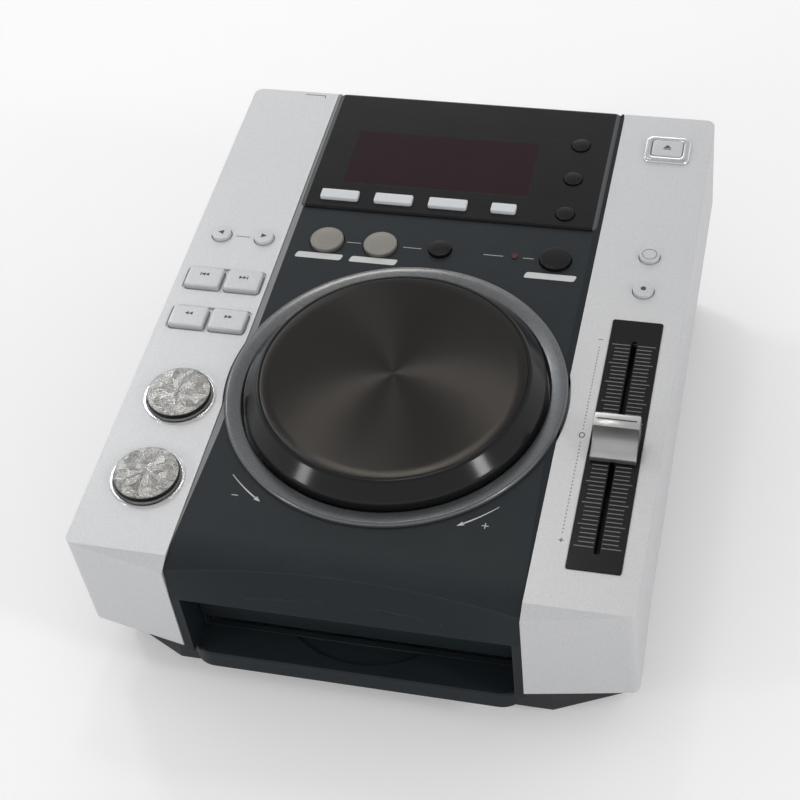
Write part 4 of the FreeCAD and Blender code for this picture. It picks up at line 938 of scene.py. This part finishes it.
class DISC_OT_disc_key(bpy.types.Operator):
    """The disc key with its bright sloping frame, and the mark on it"""

    bl_idname = "disc_player.disc_key"
    bl_label = "Disc key"

    def execute(self, context):
        x, y = DISC_KEY
        square_key("eject_key", x, y, (6.8, 5.2, 1.6, KEY_PROUD, 0.6), COVER_WALL, "key_silver")
        band = [(10.3, 8.7, 3.4, 0, 0), (10.3, 8.7, 3.4, 0.55, 0), (10.15, 8.55, 3.3, 0.75, 0),
                (9.6, 8.0, 2.9, 1.3, 0), (9.35, 7.75, 2.7, 1.4, 0), (7.5, 5.9, 2.0, 1.4, 0),
                (7.2, 5.6, 1.95, 1.25, 0), (7.15, 5.55, 1.95, 0, 0), (10.3, 8.7, 3.4, 0, 0)]
        piece("eject_frame_band", [lofted(band, DISC_KEY)], "root", "chrome_trim",
              ["eject_frame"], sharp=40)
        heights = 1.7, KEY_PROUD + mm(context.scene.player_marks.film)
        grids = [arrow_head((x, y + 1.9), math.pi / 2, 1.9, 3.4, *heights),
                 bar((x, y - 0.75), 3.4, 0.6, *heights)]
        marks("eject_key_mark", grids, "eject_key", "key_silver")
        return {"FINISHED"}


class DISC_OT_fader(bpy.types.Operator):
    """The fader knob with its hollow face and index line, and the tick lines on its plate"""

    bl_idname = "disc_player.fader"
    bl_label = "Fader"

    def execute(self, context):
        film = mm(context.scene.player_marks.film)
        # The hollow face is a curve from the knob's top to its toe, as (back, out): (1-t)^2 times
        # its start, 2t(1-t) times the point that pulls it in, and t^2 times its end.
        t = np.linspace(0, 1, 14)[:, None]
        start, pull, end = np.array([76.7, 12.1]), np.array([75.2, 3.6]), np.array([69.0, 2.9])
        hollow = (1 - t) ** 2 * start + 2 * t * (1 - t) * pull + t**2 * end
        foot = 0.9
        side = np.concatenate([
            [(83.6, foot), (83.4, 11.6), (83.2, 12.1), (82.8, 12.3), (77.1, 12.3)], hollow,
            [(68.6, 2.8), (68.4, 2.4), (68.4, foot)]])
        # The side is carried across the knob, and drawn in a little towards its middle at the ends.
        edge = np.array([0.0, 0.12, 0.45, 8.9, 17.35, 17.68, 17.8])
        inset = np.array([0.45, 0.15, 0.0, 0.0, 0.0, 0.15, 0.45])
        away = side - side.mean(0)
        away /= np.linalg.norm(away, axis=1)[:, None]
        loops = side[None] - away[None] * inset[:, None, None]
        loops[:, :, 1] = np.maximum(loops[:, :, 1], foot)
        across = np.broadcast_to((82.1 + edge)[:, None, None], (*loops.shape[:2], 1))
        blade = lofted([(0, 0, 0, -9, 0), (0.8, 2.5, 0.1, -9, 0), (0.8, 2.5, 0.1, 1.2, 0),
                        (0, 0, 0, 1.2, 0)], (FADER_X, 76.0), 3)
        piece("fader_knob_grip", [capped(np.concatenate([across, loops], -1)), blade], "fader",
              "knob_silver", ["fader_knob"], sharp=30)
        line = bar((FADER_X, 80.2), 15.2, 0.62, 12.1, 12.3 + film)
        marks("fader_knob_line", [line], "fader", "knob_silver")
        ticks = []
        for index, y in enumerate(28.0 + np.arange(51) * 2.044):
            length = 7.3 if index % 5 == 0 else 6.0
            ticks += [bar((FADER_X + side * (1.5 + length / 2), y), length, 0.38,
                          PLATE_TOP - 0.02, PLATE_TOP + film) for side in (-1, 1)]
        marks("fader_plate_ticks", ticks, "root", "panel_black", "grey")
        return {"FINISHED"}


class DISC_OT_console_marks(bpy.types.Operator):
    """The pale lines, tags and arrows on the console"""

    bl_idname = "disc_player.console_marks"
    bl_label = "Console marks"

    def execute(self, context):
        sizes = context.scene.player_marks
        line, film = mm(sizes.line), mm(sizes.film)
        heights = INK_LOW, film
        lines = [bar((x, 175.0), width, line * 0.8, *heights)
                 for x, width in ((-36.9, 6.4), (-10.8, 8.0), (24.9, 8.6), (40.0, 4.6))]
        marks("console_lines", lines, "root", "console_blue_black", "pale")
        slant = np.array([[1.0, 0.0], [0.28, 1.0]])
        tags = [prism(outline(width / 2, 1.75, 1.0, 5) @ slant + (x, 165.2), *heights)
                for x, width in ((-50.3, 20.6), (-26.0, 20.6), (51.0, 21.6))]
        marks("console_tags", tags, "root", "console_blue_black", "pale")
        arrows = []
        for radius, start, end in ((74.4, 224.2, 236.6), (73.6, -45.0, -57.4)):
            path = arc_path((0.0, WHEEL_Y), radius, start, end, 26)
            width = np.linspace(0.35, 0.8, 26) * line / 0.35 * 0.8
            arrows.append(ribbon(path, width, *heights))
            step = path[-1] - path[-2]
            tip = path[-1] + step / np.linalg.norm(step) * 2.2
            arrows.append(arrow_head(tip, math.atan2(step[1], step[0]), 2.8, 1.9, *heights))
        arrows += [bar((-49.8, 31.9), 2.6, line, *heights),
                   *plus_sign((48.4, 31.9), 2.6, line, *heights)]
        marks("console_arrows", arrows, "root", "console_blue_black", "pale")
        return {"FINISHED"}


class DISC_OT_cover_marks(bpy.types.Operator):
    """The dark marks on the silver covers"""

    bl_idname = "disc_player.cover_marks"
    bl_label = "Cover marks"

    def execute(self, context):
        sizes = context.scene.player_marks
        line, heights = mm(sizes.line), (INK_LOW, mm(sizes.film))
        x, zero = 77.3, 81.0
        dots = [bar((x, y), 0.5, 0.42, *heights)
                for y in np.arange(33.4, 128.5, 1.75) if abs(y - zero) > 2.6]
        ring = ribbon(arc_path((x, zero), 1.0, 0, 360, 33, tall=1.25), 0.36, *heights)
        signs = [bar((x, 132.3), 1.9, 0.3, *heights), *plus_sign((x, 29.8), 2.0, 0.32, *heights)]
        marks("fader_scale", [*dots, *signs, ring], "root", "silver_paint")
        lines = [bar((-86.8, 172.6), 6.6, line * 0.8, *heights),
                 bar((-79.0, 272.0), 10.0, line * 0.9, *heights),
                 bar((-74.1, 271.2), line, 1.9, *heights)]
        marks("left_cover_lines", lines, "root", "silver_paint")
        return {"FINISHED"}


# Towards the lamp as (across, back, out), width, height, power, colour
LAMPS = {
    "lamp_left": ((-0.73, -0.56, 0.39), 0.14, 0.22, 1.4, (1.0, 0.99, 0.97)),
    "lamp_right": ((0.82, -0.32, 0.48), 0.14, 0.22, 2.1, (1.0, 0.97, 0.94)),
    "lamp_rear_left": ((-0.54, 0.53, 0.65), 0.14, 0.25, 1.1, (0.97, 0.99, 1.0)),
    "lamp_rear": ((-0.14, 0.45, 0.88), 0.13, 0.13, 0.7, (1.0, 0.92, 0.84)),
    "lamp_back_low": ((-0.20, 0.90, 0.40), 0.60, 0.16, 0.75, (0.98, 0.98, 1.0)),
}
LAMP_DISTANCE = 1.15
LAMP_AIM = (0.0, 120.0, 0.0)
CAMERA_PLACE = (0.1475236, -0.3967167, 0.4823950)
CAMERA_TURN = (46.73131, 3.96625, 13.12628)
CAMERA_SHIFT = (0.0071649, 0.0009606)


def pale_floor(sizes):
    """A sheet of paper that the camera sees a little brighter, so that it stays white behind."""
    mesh = bpy.data.meshes.new("floor")
    mesh.from_pydata([(-4, -4, 0), (4, -4, 0), (4, 4, 0), (-4, 4, 0)], [], [(0, 1, 2, 3)])
    floor = bpy.data.objects.new("floor", mesh)
    bpy.context.scene.collection.objects.link(floor)
    material = bpy.data.materials.new("floor_paper")
    material.use_nodes = True
    bench = Bench(material.node_tree)
    noise = bench.noise(bench.add("TexCoord").outputs["Object"], 3.0, 4.0)
    seen = bench.add("LightPath").outputs["Is Camera Ray"]
    bench.feed(material.node_tree.nodes["Principled BSDF"], {
        "Base Color": bench.shade(sizes.floor, bench.times_plus(noise, 0.02, 0.99)),
        "Roughness": 0.9, "Specular IOR Level": 0.1, "Emission Color": (1.0, 0.995, 1.0, 1.0),
        "Emission Strength": bench.times(seen, 0.20)})
    mesh.materials.append(material)


class DISC_OT_stage(bpy.types.Operator):
    """The pale floor, the soft lamps, the room's light and the camera"""

    bl_idname = "disc_player.stage"
    bl_label = "Stage"

    def execute(self, context):
        scene, sizes = context.scene, context.scene.player_stage
        pale_floor(sizes)
        world = bpy.data.worlds.new("room")
        world.use_nodes = True
        air = Bench(world.node_tree)
        up = air.add("SeparateXYZ", {0: air.add("TexCoord").outputs["Generated"]}).outputs["Z"]
        air.feed(world.node_tree.nodes["Background"], {
            "Color": (0.98, 0.99, 1.0, 1.0),
            "Strength": air.ramp(up, 0.05, 0.85, sizes.room * 1.5, sizes.room * 0.62)})
        scene.world = world
        for name, (toward, wide, tall, power, colour) in LAMPS.items():
            light = bpy.data.lights.new(name, "AREA")
            light.shape, light.size, light.size_y = "RECTANGLE", wide, tall
            light.energy, light.color = power * sizes.lamps, colour
            lamp = bpy.data.objects.new(name, light)
            direction = np.array([ACROSS, BACK, OUT]).T @ np.array(toward)
            direction /= np.linalg.norm(direction)
            lamp.location = (to_world(LAMP_AIM) + LAMP_DISTANCE * direction).tolist()
            facing = Vector((-direction).tolist()).to_track_quat("-Z", "Y")
            lamp.rotation_euler = facing.to_euler()
            scene.collection.objects.link(lamp)
        camera = bpy.data.objects.new("photo_camera", bpy.data.cameras.new("photo_camera"))
        camera.location = (ORIGIN + np.array(CAMERA_PLACE)).tolist()
        camera.rotation_euler = [math.radians(angle) for angle in CAMERA_TURN]
        camera.data.lens, camera.data.sensor_width = sizes.lens, 36.0
        camera.data.shift_x, camera.data.shift_y = CAMERA_SHIFT
        camera.data.clip_start, camera.data.clip_end = 0.01, 50.0
        scene.collection.objects.link(camera)
        scene.camera = camera
        scene.view_settings.view_transform = "Standard"
        return {"FINISHED"}


OPERATORS = (DISC_OT_case_finish, DISC_OT_wheel, DISC_OT_round_keys, DISC_OT_square_keys,
             DISC_OT_bar_keys, DISC_OT_start_keys, DISC_OT_disc_key, DISC_OT_fader,
             DISC_OT_console_marks, DISC_OT_cover_marks, DISC_OT_stage)
SETTINGS = {"player_wheel": WheelSizes, "player_keys": KeySizes, "player_marks": MarkSizes,
            "player_case": CaseColours, "player_stage": StageSizes}


class DISC_PT_parts(bpy.types.Panel):
    """Lists the pieces and their sizes"""

    bl_label = "Disc Player"
    bl_space_type = "VIEW_3D"
    bl_region_type = "UI"
    bl_category = "Disc Player"

    def draw(self, context):
        for operator in OPERATORS:
            self.layout.operator(operator.bl_idname)
        for label, group in SETTINGS.items():
            box = self.layout.box()
            for key in group.__annotations__:
                box.prop(getattr(context.scene, label), key)


def register():
    for group in SETTINGS.values():
        bpy.utils.register_class(group)
    for label, group in SETTINGS.items():
        setattr(bpy.types.Scene, label, PointerProperty(type=group))
    for item in (*OPERATORS, DISC_PT_parts):
        bpy.utils.register_class(item)


def unregister():
    for item in (DISC_PT_parts, *reversed(OPERATORS)):
        bpy.utils.unregister_class(item)
    for label, group in SETTINGS.items():
        delattr(bpy.types.Scene, label)
        bpy.utils.unregister_class(group)


def main():
    register()
    for operator in OPERATORS:
        family, name = operator.bl_idname.split(".")
        getattr(getattr(bpy.ops, family), name)()


if __name__ == "__main__":
    main()
